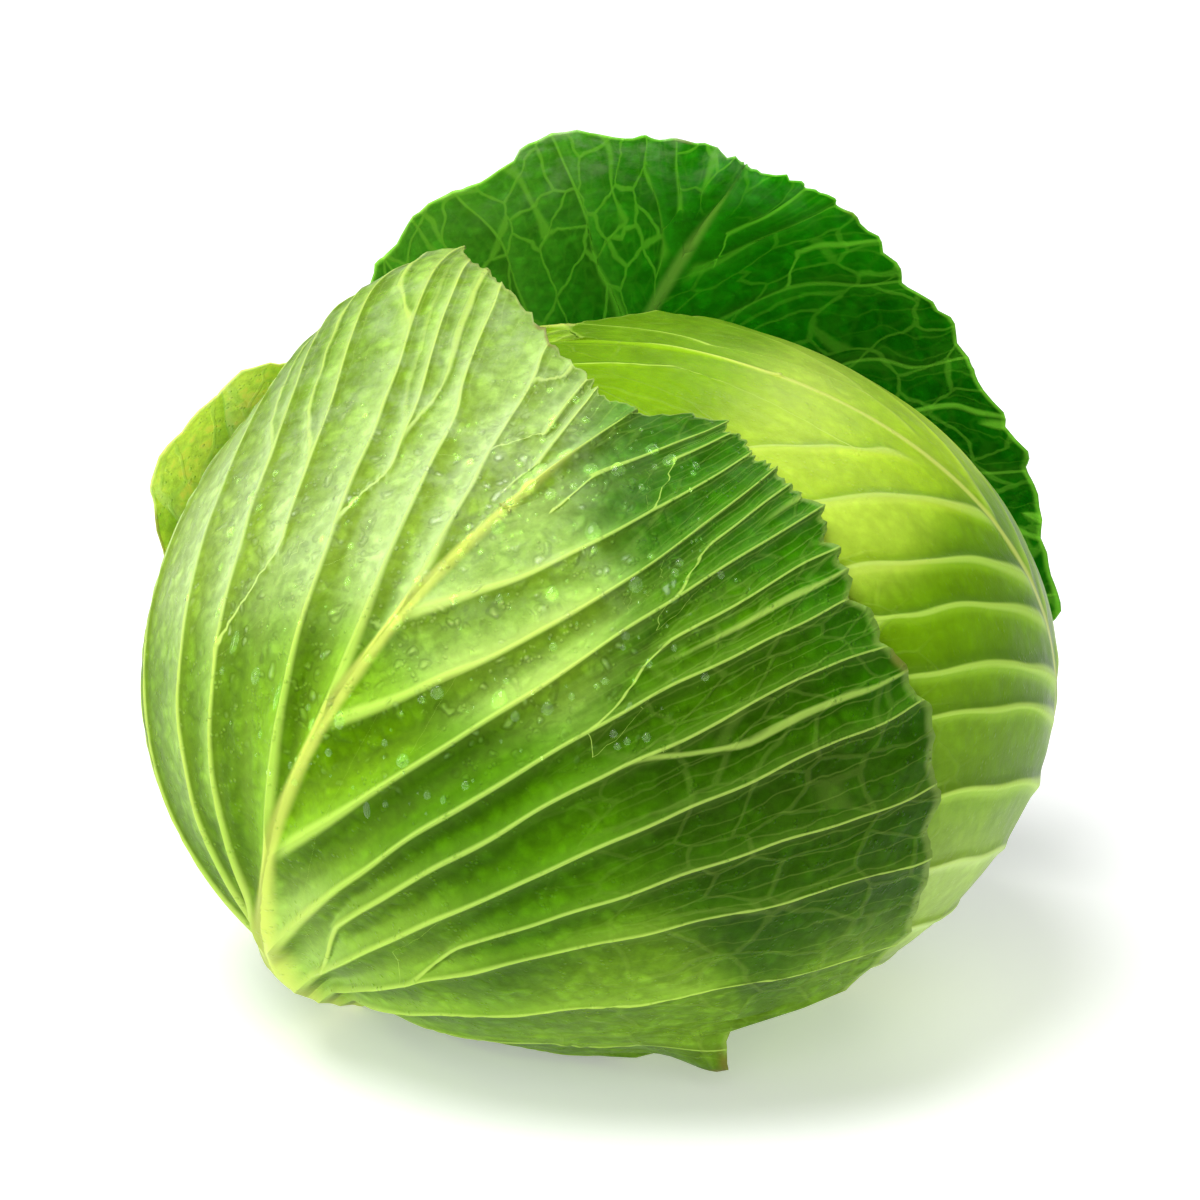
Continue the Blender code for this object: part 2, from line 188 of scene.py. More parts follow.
def wrapper_lift(x, y):
    return 4.0 + 0.0 * x


def left_lift(x, y):
    """The left leaf lies over the front one's edge, and stands off on the side that faces it."""
    return 7.8 + 11.0 * smooth(0, 40, -y) * smooth(-36, 8, x)


def back_lift(x, y):
    """The back leaf leaves the head as it rises, and stands up behind it."""
    rise = 7.0 * smooth(-95, 0, x) + 25.0 * smooth(0, 80, x)
    return 9.4 + rise * (1 - 0.5 * smooth(10, 90, y))


FRONT_LEAF = Leaf(
    name="front_leaf",
    turn=0,
    middle=85,
    midrib_end=60,
    left=(
        Vein(80, 36, 0, 0), Vein(60, 36, 18, 12), Vein(33, 71, 16, 38), Vein(9, 108, 12, 48),
        Vein(-22, 146, 12, 40), Vein(-52, 160, 18, 34), Vein(-62, 160, 28, 25),
        Vein(-72, 156, 40, 16), Vein(-78, 128, 52, 10), Vein(-84, 88, 64, 6), Vein(-92, 44, 76, 0),
        Vein(-107, 13, 95, 0),
    ),
    right=(
        Vein(80, 36, 0, 0), Vein(60, 52, 26, -24), Vein(33, 79, 40, -45), Vein(9, 104, 42, -40),
        Vein(-22, 134, 31, -12), Vein(-52, 154, 23, 6), Vein(-72, 172, 27, 9),
        Vein(-83, 168, 28, 21), Vein(-91, 160, 33, 26), Vein(-95, 146, 39, 27),
        Vein(-97, 118, 42, 26), Vein(-99, 112, 48, 26), Vein(-101, 98, 54, 22),
        Vein(-104, 44, 70, 10), Vein(-107, 13, 95, 0),
    ),
    ribs=(
        Rib(52, 0.6, 0.72, 0.7), Rib(33, 0.0, 0.0, 0.9), Rib(9, 0.0, 0.0, 1.2),
        Rib(-8, 0.5, 0.78, 0.8), Rib(-22, 0.0, 0.0, 1.4), Rib(-38, 0.45, 0.7, 1.0),
        Rib(-52, 0.0, 0.0, 1.5), Rib(-61, 0.0, 0.2, 1.3), Rib(-72, 0.0, 0.0, 1.5),
        Rib(-78, 0.0, 0.4, 1.1), Rib(-83, 0.0, 0.0, 1.5), Rib(-91, 0.0, 0.0, 1.4),
        Rib(-98, 1.0, 0.0, 1.2), Rib(-102, 1.0, 0.0, 0.8), Rib(-105, 1.0, 0.0, 0.6),
    ),
    midrib_height=7.0,
    lift=front_lift,
    flares=(Flare(72, 90, 48, 50, 15.0), Flare(-50, -100, 11, 12, 7.0)),
    ruffle=0.5,
    rows=94,
    rib_width=0.6,
    sag=1.05,
    crest=0.65,
    puff=0.7,
    wander=0.10,
    fork_from=0.55,
    fork_height=0.4,
    forks_left=0.7,
    forks_right=0.25,
    bold_left=1.0,
    bold_right=1.0,
    net_left=0.1,
    net_right=1.0,
    wet=1.0,
)

WRAPPER_LEAF = Leaf(
    name="wrapper_leaf",
    turn=-122,
    middle=95,
    midrib_end=120,
    left=(
        Vein(150, 50, 0, 0), Vein(120, 80, 30, 20), Vein(88, 96, 44, 36), Vein(66, 98, 47, 52),
        Vein(45, 96, 52, 56), Vein(15, 92, 54, 58), Vein(-20, 88, 66, 42), Vein(-45, 80, 74, 30),
        Vein(-70, 72, 80, 20), Vein(-95, 54, 82, 10), Vein(-108, 30, 85, 0), Vein(-114, 14, 90, 0),
        Vein(-118, 9, 95, 0),
    ),
    right=(
        Vein(150, 46, 0, 0), Vein(120, 56, 34, 0), Vein(88, 78, 46, 10), Vein(66, 90, 50, 20),
        Vein(45, 96, 54, 30), Vein(15, 94, 56, 36), Vein(-20, 88, 65, 32), Vein(-45, 80, 72, 28),
        Vein(-70, 72, 80, 20), Vein(-95, 54, 82, 10), Vein(-108, 30, 85, 0), Vein(-114, 14, 90, 0),
        Vein(-118, 9, 95, 0),
    ),
    ribs=(
        Rib(82, 0.1, 0.1, 0.5), Rib(67, 0.0, 0.0, 0.7), Rib(53, 0.0, 0.0, 0.8),
        Rib(44, 0.0, 0.0, 0.6), Rib(32, 0.0, 0.0, 0.9), Rib(24, 0.0, 0.0, 0.6),
        Rib(10, 0.0, 0.0, 0.9), Rib(-4, 0.0, 0.0, 0.7), Rib(-18, 0.0, 0.0, 0.9),
        Rib(-32, 0.0, 0.0, 0.7), Rib(-52, 0.0, 0.0, 0.8), Rib(-75, 0.0, 0.0, 0.7),
        Rib(-95, 0.0, 0.0, 0.6),
    ),
    midrib_height=0.8,
    lift=wrapper_lift,
    flares=(),
    ruffle=0.0,
    rows=96,
    rib_width=0.9,
    sag=0.55,
    crest=0.7,
    puff=0.2,
    wander=0.10,
    fork_from=0.62,
    fork_height=0.15,
    forks_left=0.4,
    forks_right=0.2,
    bold_left=1.0,
    bold_right=0.35,
    net_left=1.0,
    net_right=0.4,
    wet=0.1,
)

BACK_LEAF = Leaf(
    name="back_leaf",
    turn=136,
    middle=85,
    midrib_end=48,
    left=(
        Vein(68, 23, 0, 0), Vein(48, 27, 28, 0), Vein(30, 48, 42, 0), Vein(5, 82, 50, 0),
        Vein(-25, 112, 56, 5), Vein(-50, 98, 60, 10), Vein(-75, 74, 66, 10), Vein(-92, 40, 72, 0),
        Vein(-100, 14, 82, 0), Vein(-106, 7, 95, 0),
    ),
    right=(
        Vein(68, 23, 0, 0), Vein(48, 32, 28, 0), Vein(30, 51, 42, 0), Vein(5, 66, 52, 0),
        Vein(-25, 71, 58, 5), Vein(-50, 62, 62, 5), Vein(-75, 44, 66, 0), Vein(-92, 24, 72, 0),
        Vein(-100, 10, 82, 0), Vein(-106, 7, 95, 0),
    ),
    ribs=(
        Rib(42, 0.1, 0.1, 0.8), Rib(28, 0.0, 0.0, 1.0), Rib(12, 0.0, 0.0, 1.2),
        Rib(-5, 0.0, 0.0, 1.3), Rib(-22, 0.0, 0.0, 1.4), Rib(-40, 0.0, 0.0, 1.4),
        Rib(-58, 0.0, 0.0, 1.3), Rib(-76, 0.0, 0.0, 1.1),
    ),
    midrib_height=3.0,
    lift=back_lift,
    flares=(),
    ruffle=2.2,
    rows=120,
    rib_width=0.75,
    sag=0.8,
    crest=0.5,
    puff=0.6,
    wander=0.20,
    fork_from=0.30,
    fork_height=0.35,
    forks_left=0.5,
    forks_right=1.0,
    bold_left=0.55,
    bold_right=1.0,
    net_left=0.4,
    net_right=1.0,
    wet=0.0,
)

LEFT_LEAF = Leaf(
    name="left_leaf",
    turn=92,
    middle=80,
    midrib_end=12,
    left=(
        Vein(28, 9, 0, 0), Vein(12, 16, 26, 0), Vein(-4, 34, 45, 0), Vein(-25, 40, 55, 5),
        Vein(-50, 34, 60, 5), Vein(-75, 22, 66, 0), Vein(-92, 9, 78, 0), Vein(-99, 6, 95, 0),
    ),
    right=(
        Vein(28, 9, 0, 0), Vein(12, 18, 26, 0), Vein(-4, 42, 45, 0), Vein(-22, 40, 55, 5),
        Vein(-38, 26, 58, 5), Vein(-55, 20, 62, 5), Vein(-75, 16, 66, 0), Vein(-92, 11, 78, 0),
        Vein(-99, 8, 95, 0),
    ),
    ribs=(
        Rib(6, 0.1, 0.1, 0.7), Rib(-8, 0.0, 0.0, 0.9), Rib(-24, 0.0, 0.0, 1.0),
        Rib(-46, 0.0, 0.0, 1.0), Rib(-68, 0.0, 0.0, 0.9),
    ),
    midrib_height=1.6,
    lift=left_lift,
    flares=(),
    ruffle=1.0,
    rows=60,
    rib_width=0.8,
    sag=1.0,
    crest=0.4,
    puff=0.4,
    wander=0.12,
    fork_from=0.4,
    fork_height=0.3,
    forks_left=0.8,
    forks_right=0.8,
    bold_left=1.0,
    bold_right=1.0,
    net_left=1.0,
    net_right=1.0,
    wet=0.0,
)

# The front leaf's tones: whiter towards its upper left and deep green towards its lower right, partly its own
# colour and partly painted light and painted shade.
FRONT_TONES_AND_PAINTED_LIGHT = (
    Tone(-42, 71, 26, PALE_GREEN),
    Tone(-78, 31, 20, WHITE_GREEN),
    Tone(-86, -10, 14, PALE_GREEN),
    Tone(-62, -52, 8, PALE_GREEN),
    Tone(-63, -6, 18, FRESH_GREEN),
    Tone(-31, 46, 22, WHITE_GREEN),
    Tone(-17, 15, 14, PALE_GREEN),
    Tone(10, 40, 14, VIVID_GREEN),
    Tone(30, 30, 12, VIVID_GREEN),
    Tone(21, 6, 13, LEAF_GREEN),
    Tone(38, -19, 22, DEEP_GREEN),
    Tone(58, 10, 16, VIVID_GREEN),
    Tone(56, -36, 16, DEEP_GREEN),
    Tone(-21, -38, 18, LEAF_GREEN),
    Tone(-40, -56, 14, SOFT_GREEN),
    Tone(0, -71, 14, SOFT_GREEN),
    Tone(60, -63, 12, SOFT_GREEN),
)
# The wrapper leaf's tones: a painted shadow of the back leaf along its top, a yellow band across its middle
# that is partly painted highlight, and a painted highlight at its lower right rim.
WRAPPER_TONES_AND_PAINTED_LIGHT = (
    # Painted shadow of the back leaf along the top.
    Tone(20, 84, 16, LEAF_GREEN),
    Tone(66, 74, 15, LEAF_GREEN),
    Tone(20, 66, 14, YELLOW_GREEN),
    Tone(40, 50, 13, CREAM_YELLOW),
    Tone(54, 30, 10, CREAM_YELLOW),
    Tone(62, 48, 12, SUN_YELLOW),
    Tone(76, 10, 20, FRESH_GREEN),
    Tone(80, -18, 20, SOFT_GREEN),
    # Painted highlight at the lower right rim.
    Tone(80, -44, 13, WHITE_GREEN),
)
BACK_TONES = (
    Tone(-20, 110, 24, BRIGHT_LEAF),
    Tone(20, 96, 30, DARK_GREEN),
    Tone(70, 55, 34, BLACK_GREEN),
)
# The left leaf's tones: bright yellow, a painted glow in place of light shining through it from behind.
LEFT_TONES_AND_PAINTED_GLOW = (Tone(-85, 50, 30, PAINTED_BACKLIGHT_YELLOW), Tone(-85, 20, 20, SUN_YELLOW))
HEAD_TONES = (Tone(0, 80, 80, YELLOW_GREEN), Tone(0, -60, 60, PALE_GREEN))


def head_radius(way):
    """From the head's centre to its surface along unit directions, without the dimple."""
    return 1.0 / np.linalg.norm(way / HEAD_HALF, axis=-1)


def leaf_axes(turn, middle):
    """Directions from the head's centre: to a leaf's middle, along its midrib, and across it."""
    outwards = FRONT_AXIS * math.cos(turn) + SIDE_AXIS * math.sin(turn)
    to_middle = STALK_AXIS * math.cos(middle) + outwards * math.sin(middle)
    along = -STALK_AXIS * math.sin(middle) + outwards * math.cos(middle)
    return to_middle, along, np.cross(STALK_AXIS, outwards)


def wrap(axes, x, y):
    """The directions in which points of the flat leaf come to lie."""
    to_middle, along, across = axes
    far = np.maximum(np.hypot(x, y), 1e-9)[..., None]
    angle = far * MM / WRAP_RADIUS
    ahead = along * x[..., None] + across * y[..., None]
    return to_middle * np.cos(angle) + ahead * (np.sin(angle) / far)


def start_at(leaf, count):
    """Where on the midrib a vein starts. Counts are 0 at the first rib and rise by 1 a rib, to the base."""
    starts = [leaf.left[0].start, leaf.midrib_end, *[rib.start for rib in leaf.ribs], leaf.left[-1].start]
    return np.interp(count, np.arange(len(starts)) - 2, starts)


def vein_points(leaf, side, count, share, tooth=0.0, fine_tooth=0.0):
    """Flat points at a share of the length of the veins. side is 1 on the left and -1 on the right."""
    veins = leaf.left if side > 0 else leaf.right
    start = start_at(leaf, count)
    known = [vein.start for vein in veins][::-1]
    length, angle, bend = (np.interp(start, known, [vein[k] for vein in veins][::-1]) for k in (1, 2, 3))
    reach = (length + tooth) * share + fine_tooth * share**12
    way = np.radians(angle)
    turn = np.where(abs(bend) < 1e-3, 1e-3, bend) * math.radians(1) / 100
    ahead = (np.sin(way + turn * reach) - np.sin(way)) / turn
    aside = (np.cos(way) - np.cos(way + turn * reach)) / turn
    return np.minimum(start, leaf.midrib_end) + ahead, side * aside


def edge_teeth(leaf, side, count):
    """The uneven teeth of the leaf's edge, in mm: the long ones of the whole vein, and the short ones."""
    start = start_at(leaf, count)
    apart = np.where(count > count.min(), side * 5.27, 0.0)
    long = rough(start * TOOTH_PITCH, apart, leaf.turn * 0.629)
    x, y = vein_points(leaf, side, count, np.ones_like(count))
    along = np.concatenate([[0.0], np.cumsum(np.hypot(np.diff(x), np.diff(y)))])
    short = sum(
        high * rough(along / pitch, side * apart, leaf.turn * turned)
        for high, pitch, apart, turned in SHORT_TEETH
    )
    return long * TOOTH_LENGTH, short, along


def midrib_rise(leaf, x, y):
    """The midrib stands proud and broad near the stalk, and thins towards the tip. In mm, with its width."""
    base, tip = leaf.left[-1].start, leaf.midrib_end
    along = (x - base) / (tip - base)
    thick = 1 - smooth(*MIDRIB_THINS, along)
    height = MIDRIB_LEAST + (1 - MIDRIB_LEAST) * thick
    width = MIDRIB_THIN_WIDTH + (MIDRIB_BROAD_WIDTH - MIDRIB_THIN_WIDTH) * thick
    rise = leaf.midrib_height * height * bump(y, width) * (1 - smooth(*MIDRIB_FADES, along))
    return rise, width, along


def edge_lift(leaf, x, y, share):
    """The flares and ruffles that raise the leaf's edge, in mm."""
    lifted = sum(f.height * bump(x - f.x, f.wide_x) * bump(y - f.y, f.wide_y) for f in leaf.flares)
    wave = rough(x * 0.045, y * 0.045, leaf.turn * 0.11)
    return lifted * smooth(0.35, 1.0, share) + leaf.ruffle * (1 + 1.6 * wave) * smooth(0.6, 1.0, share)


def begun_at(begins, share):
    """How much of a rib shows at a share of its vein's length, 0 to 1, where it begins at another."""
    return smooth(begins - 0.01, begins + BEGIN_REACH, share)


def rib_relief(leaf, side, placed, share, spacing):
    """The blade sags between its ribs, whose crests are narrow. In mm, with how near the closest branch is.

    A rib that begins past the midrib branches off the next one towards the base.
    """
    heights = [*TIP_HEIGHTS, *[rib.height for rib in leaf.ribs], 0.0]
    begins = [*TIP_BEGINS, *[rib.from_left if side > 0 else rib.from_right for rib in leaf.ribs], 1.0]
    begun = [begun_at(start, share) for start in begins]
    begun[0] = smooth(0.0, 0.6, share)
    crest_width = leaf.rib_width * (1.3 - RIB_TAPER * share) + 1.1 * (1 - smooth(0.0, 0.22, share))
    sag = np.zeros_like(share)
    crest = np.zeros_like(share)
    branch = np.full_like(share, NO_BRANCH)
    shown = np.zeros_like(share)
    nearest = np.clip(np.round(placed).astype(int) + 2, 0, len(heights) - 1)
    for number, height in enumerate(heights):
        place = number - 2
        before = begun[max(number - 1, 0)]
        after = begun[min(number + 1, len(begun) - 1)]
        reach = 1 - 0.5 * np.where(placed > place, after, before)
        fall = np.clip(1 - abs(placed - place) / reach, 0, 1) ** 2
        tall = height * (1 - RIB_TAPER * share)
        sag = sag + tall * begun[number] * fall
        crest = crest + tall * begun[number] * bump((placed - place) * spacing, crest_width)
        shown = np.where(nearest == number, begun[number], shown)
        if not BRANCHES[0] <= begins[number] <= BRANCHES[1]:
            continue
        left = 1 - smooth(begins[number] - BEGIN_REACH, begins[number] + 0.03, share)
        away = (placed - place - left) * spacing
        started = smooth(begins[number] - 0.08, begins[number] - 0.05, share)
        crest = crest + tall * started * (1 - begun[number]) * bump(away, crest_width)
        branch = np.where((abs(away) < abs(branch)) & (started > 0), away, branch)
    return leaf.sag * sag + leaf.crest * crest, sag, branch, shown


def chance(count, salt):
    """A fixed draw from 0 to 1 for each space between two ribs."""
    return (np.sin(np.floor(count) * 12.9898 + salt * 78.233) * 43758.5453) % 1.0


def vein_spacing(leaf, side, count, share):
    """How far apart veins one count apart lie, in mm, square to them."""
    step = 0.02
    x1, y1 = vein_points(leaf, side, count + step, share)
    x0, y0 = vein_points(leaf, side, count - step, share)
    across = np.stack([x1 - x0, y1 - y0], axis=-1) / (2 * step)
    x1, y1 = vein_points(leaf, side, count, share + 0.01)
    x0, y0 = vein_points(leaf, side, count, np.maximum(share - 0.01, 0.0))
    ahead = np.stack([x1 - x0, y1 - y0], axis=-1)
    ahead /= np.maximum(np.linalg.norm(ahead, axis=-1, keepdims=True), 1e-6)
    along = (across * ahead).sum(-1, keepdims=True)
    return np.linalg.norm(across - along * ahead, axis=-1)


# How far a rib strays between the veins, over how many mm.
SWAY_LONG = 15.0
# Where forks start, over which share of a vein's length, and how soon they reach the middle between two ribs.
FORK_SPREAD = 0.26
FORK_TURN = 0.14
FORK_ROOM = (7.0, 10.0)
# The puffs of the blade between two ribs: their length in mm, and the size of the fine ones.
PUFF_LONG = 9.0
PUFF_FINE = 3.4
FLUTTER_HEIGHT = 0.9
FLUTTER_LONG = 8.0
# How strongly the slope of the relief turns into painted light on one side of each rib and painted shade on
# the other.
SLOPE_SHADE = 3.4
# Added to the counts of a leaf's right side, so that no pattern is mirrored.
RIGHT_COUNTS = 40.0


def half_leaf(leaf, side, count, share):
    """One side of a leaf at each point of its grid: its place, its relief and the fields for its finish, its
    painted light and shade among them.
    """
    left = side > 0
    columns = count[0]
    tooth, short, edge = edge_teeth(leaf, side, columns)
    x, y = vein_points(leaf, side, count, share, tooth, short)
    spacing = vein_spacing(leaf, side, count, share)
    veins = leaf.left if left else leaf.right
    known = [vein.start for vein in veins][::-1]
    far = np.interp(start_at(leaf, count), known, [vein.length for vein in veins][::-1]) * share

    sway = rough(far / SWAY_LONG, np.round(count) * 7.7, side * 3.3 + leaf.turn)
    sway = leaf.wander * smooth(0.05, 0.3, share) * sway
    placed = np.clip(count + sway, columns.min(), columns.max())
    raised, sag, branch, begun = rib_relief(leaf, side, placed, share, spacing)
    midrib, midrib_width, midrib_share = midrib_rise(leaf, x, y)

    part = placed - np.floor(placed)
    part = np.where(chance(placed, side + 2.0) < 0.5, 1 - part, part)
    fork_start = leaf.fork_from + FORK_SPREAD * chance(placed, side + 5.0)
    fork_way = smooth(fork_start, fork_start + FORK_TURN, share)
    fork = (part - 0.5 * fork_way) * spacing
    forked = smooth(fork_start - 0.02, fork_start + 0.04, share) * smooth(*FORK_ROOM, spacing)
    forked = forked * (chance(placed, side + 7.0) < (leaf.forks_left if left else leaf.forks_right))
    bold = 1 + ((leaf.bold_left if left else leaf.bold_right) - 1) * smooth(0.0, 0.12, share)
    raised = (raised + leaf.fork_height * bump(fork, 1.0) * forked) * bold * smooth(0.0, 0.02, share)

    between = np.sin(np.pi * np.clip(part, 0, 1)) ** 2 * smooth(3.0, 9.0, spacing)
    puffs = rough(placed * 1.3, far / PUFF_LONG, side * 4.1 + leaf.turn * 0.3)
    fine = rough(x / PUFF_FINE, y / PUFF_FINE, leaf.turn * 0.5)
    puffed = leaf.puff * between * (0.9 * puffs + 0.6 * fine + 0.25) * smooth(0.0, 0.03, share)

    flutter = rough(edge / FLUTTER_LONG, side * 2.2, leaf.turn * 0.2) + 0.35
    flutter = np.maximum(FLUTTER_HEIGHT * flutter * smooth(0.86, 1.0, share), -0.2)
    lift = leaf.lift(x, y) + edge_lift(leaf, x, y, share) + raised + midrib + puffed + flutter
    # The slope across the ribs, for painted light on the side of each rib that faces the lamp and painted
    # shade on the other.
    slope = -side * np.gradient(raised + 0.5 * midrib, columns, axis=1) / np.maximum(spacing, 1.5)
    slope = slope * smooth(1.0, 3.0, spacing)
    return {
        "x": x,
        "y": y,
        "lift": lift,
        "thicker": (sag * smooth(0.0, 0.02, share) + midrib) * THICKENED,
        "count": placed + (0.0 if left else RIGHT_COUNTS),
        "far": far,
        "spacing": spacing,
        "share": share,
        "ribbed": begun * bold,
        "netted": np.full_like(share, leaf.net_left if left else leaf.net_right),
        "branch": branch,
        "fork": fork,
        "forked": forked,
        "midrib": abs(y) / midrib_width + 2 * smooth(*MIDRIB_FADES, midrib_share),
        "lit": 0.5 + 0.5 * np.tanh(slope * SLOPE_SHADE),
    }


# The fields of half_leaf that a leaf's mesh keeps, for its thickness, its finish, and its painted light and
# shade.
KEPT_FIELDS = (
    "spacing",
    "share",
    "ribbed",
    "netted",
    "branch",
    "fork",
    "forked",
    "midrib",
    "lit",
    "thicker",
)


def view_place(points):
    """Where points lie in the front view: mm to the right of the head's middle, and mm up."""
    back = points - np.array(VIEW_MIDDLE)
    return back[..., 0] / MM, back @ np.array(VIEW_UP) / MM


# The wet place in the front view: its middle, and how far it reaches to each side and up and down, in mm.
WET_MIDDLE = (-30.0, 16.0)
WET_SPREAD = (60.0, 44.0)


def wet_reach(points):
    """How far points lie from the middle of the wet place: under 1 inside it."""
    across, up = view_place(points)
    return np.hypot((across - WET_MIDDLE[0]) / WET_SPREAD[0], (up - WET_MIDDLE[1]) / WET_SPREAD[1])


def tone_colours(tones, points):
    """The colour of the blade at each point, mixed from the tones that reach it, some of which are painted
    light and painted shade.
    """
    across, up = view_place(points)
    weights = [bump(np.hypot(across - tone.across, up - tone.up), tone.wide) + 1e-4 for tone in tones]
    mixed = sum(weight[..., None] * np.array(tone.colour) for weight, tone in zip(weights, tones))
    return mixed / sum(weights)[..., None]


def place_piece(mesh, material, node):
    """The finished mesh as a piece of the scene, in place of a node of the frame."""
    piece = bpy.data.objects.new(mesh.name, mesh)
    bpy.context.scene.collection.objects.link(piece)
    mesh.materials.append(material)
    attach(piece, "root")
    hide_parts(node)
    return piece


def point_places(mesh):
    """The places of a mesh's points, a row for each."""
    place = np.empty(len(mesh.vertices) * 3, np.float32)
    mesh.vertices.foreach_get("co", place)
    return place.reshape(-1, 3)


def field_values(mesh, name):
    return np.array([value.value for value in mesh.attributes[name].data])


def give_field(mesh, name, values):
    field = mesh.attributes.new(name, "FLOAT", "POINT")
    field.data.foreach_set("value", np.asarray(values, np.float32).ravel())


def give_colour(mesh, name, values):
    field = mesh.attributes.new(name, "FLOAT_COLOR", "POINT")
    solid = np.concatenate([values, np.ones((len(values), 1))], axis=1)
    field.data.foreach_set("color", solid.astype(np.float32).ravel())


def give_map(mesh, name, across, up):
    """A UV map from two values at each vertex."""
    corner = np.empty(len(mesh.loops), np.int32)
    mesh.loops.foreach_get("vertex_index", corner)
    layer = mesh.uv_layers.new(name=name)
    pairs = np.stack([np.ravel(across)[corner], np.ravel(up)[corner]], axis=1)
    layer.uv.foreach_set("vector", pairs.astype(np.float32).ravel())


def flat_grid(name, columns, rows):
    """A grid of faces, with the column and the row of each of its vertices."""
    sheet = bmesh.new()
    bmesh.ops.create_grid(sheet, x_segments=columns, y_segments=rows, size=1.0)
    mesh = bpy.data.meshes.new(name)
    sheet.to_mesh(mesh)
    sheet.free()
    place = point_places(mesh)
    column = np.round((place[:, 0] + 1) / 2 * columns).astype(int)
    row = np.round((place[:, 1] + 1) / 2 * rows).astype(int)
    return mesh, column, row


def close_seams(mesh, reach=1e-6):
    """Joins the points that lie together, and turns the faces away from the head's centre."""
    sheet = bmesh.new()
    sheet.from_mesh(mesh)
    bmesh.ops.remove_doubles(sheet, verts=sheet.verts, dist=reach)
    bmesh.ops.dissolve_degenerate(sheet, edges=sheet.edges, dist=reach)
    bmesh.ops.recalc_face_normals(sheet, faces=sheet.faces)
    middle = Vector(HEAD_CENTRE)
    if sum(face.normal.dot(face.calc_center_median() - middle) for face in sheet.faces) < 0:
        bmesh.ops.reverse_faces(sheet, faces=sheet.faces)
    sheet.to_mesh(mesh)
    sheet.free()
    mesh.shade_smooth()


def make_leaf(leaf, tones, material):
    """One leaf of one sheet, whose columns follow its veins, with the fields that its finish reads."""
    intervals = len(leaf.ribs) + 2
    counts = [begin - 2 + place for begin in range(intervals) for place in COLUMN_PLACES]
    counts = np.array([*counts, intervals - 2.0])
    last = len(counts) - 1
    shares = (np.arange(leaf.rows + 1) / leaf.rows) ** ROW_CROWDING
    count, share = np.meshgrid(counts, shares)
    sides = {side: half_leaf(leaf, side, count, share) for side in (1, -1)}
    mesh, column, row = flat_grid(leaf.name + "_blade", 2 * last, leaf.rows)
    offset = column - last
    fields = {
        key: np.where(offset > 0, sides[1][key][row, abs(offset)], sides[-1][key][row, abs(offset)])
        for key in sides[1]
    }
    way = wrap(leaf_axes(math.radians(leaf.turn), math.radians(leaf.middle)), fields["x"], fields["y"])
    points = HEAD_CENTRE + way * (head_radius(way) + fields["lift"] * MM)[:, None]
    points[:, 2] = np.maximum(points[:, 2], 0.0)
    mesh.vertices.foreach_set("co", points.astype(np.float32).ravel())
    for key in KEPT_FIELDS:
        give_field(mesh, key, fields[key])
    give_field(mesh, "wet", leaf.wet * (1 - smooth(0.6, 1.1, wet_reach(points))))
    give_colour(mesh, "tone", tone_colours(tones, points))
    give_map(mesh, "veins", fields["count"], fields["far"])
    close_seams(mesh)
    piece = place_piece(mesh, material, leaf.name)
    give_thickness(piece)
    return piece


def give_thickness(piece):
    """The blade is thinnest at its edge, thickest under the midrib, and never reaches under the floor."""
    mesh = piece.data
    above = np.array([vert.co.z for vert in mesh.vertices]) / MM
    upwards = np.array([vert.normal.z for vert in mesh.vertices])
    extra = field_values(mesh, "thicker")
    share = field_values(mesh, "share")
    thick = LEAF_THICK * (1 - (1 - EDGE_THICK) * smooth(0.9, 1.0, share)) + extra
    thick = np.minimum(thick, np.maximum(above / np.maximum(upwards, 0.001), LEAST_THICK))
    group = piece.vertex_groups.new(name="wall")
    for index, weight in enumerate(thick / thick.max()):
        group.add([index], float(weight), "REPLACE")
    wall = piece.modifiers.new("wall", "SOLIDIFY")
    wall.thickness = thick.max() * MM
    wall.vertex_group = group.name
    wall.offset = -1.0


HEAD_LEAVES = 6
HEAD_LEAF_TURN = math.radians(137.5)
HEAD_LEAF_MIDDLE = math.radians(88.0)
HEAD_LEAF_REACH = math.radians(84.0)
HEAD_LEAF_WAVE = math.radians(1.6)
HEAD_FIRST_TURN = math.radians(40.0)
HEAD_STEP = 0.256 * MM
HEAD_RIB_GAP = 13.0
HEAD_RIB_SLANT = 1.05


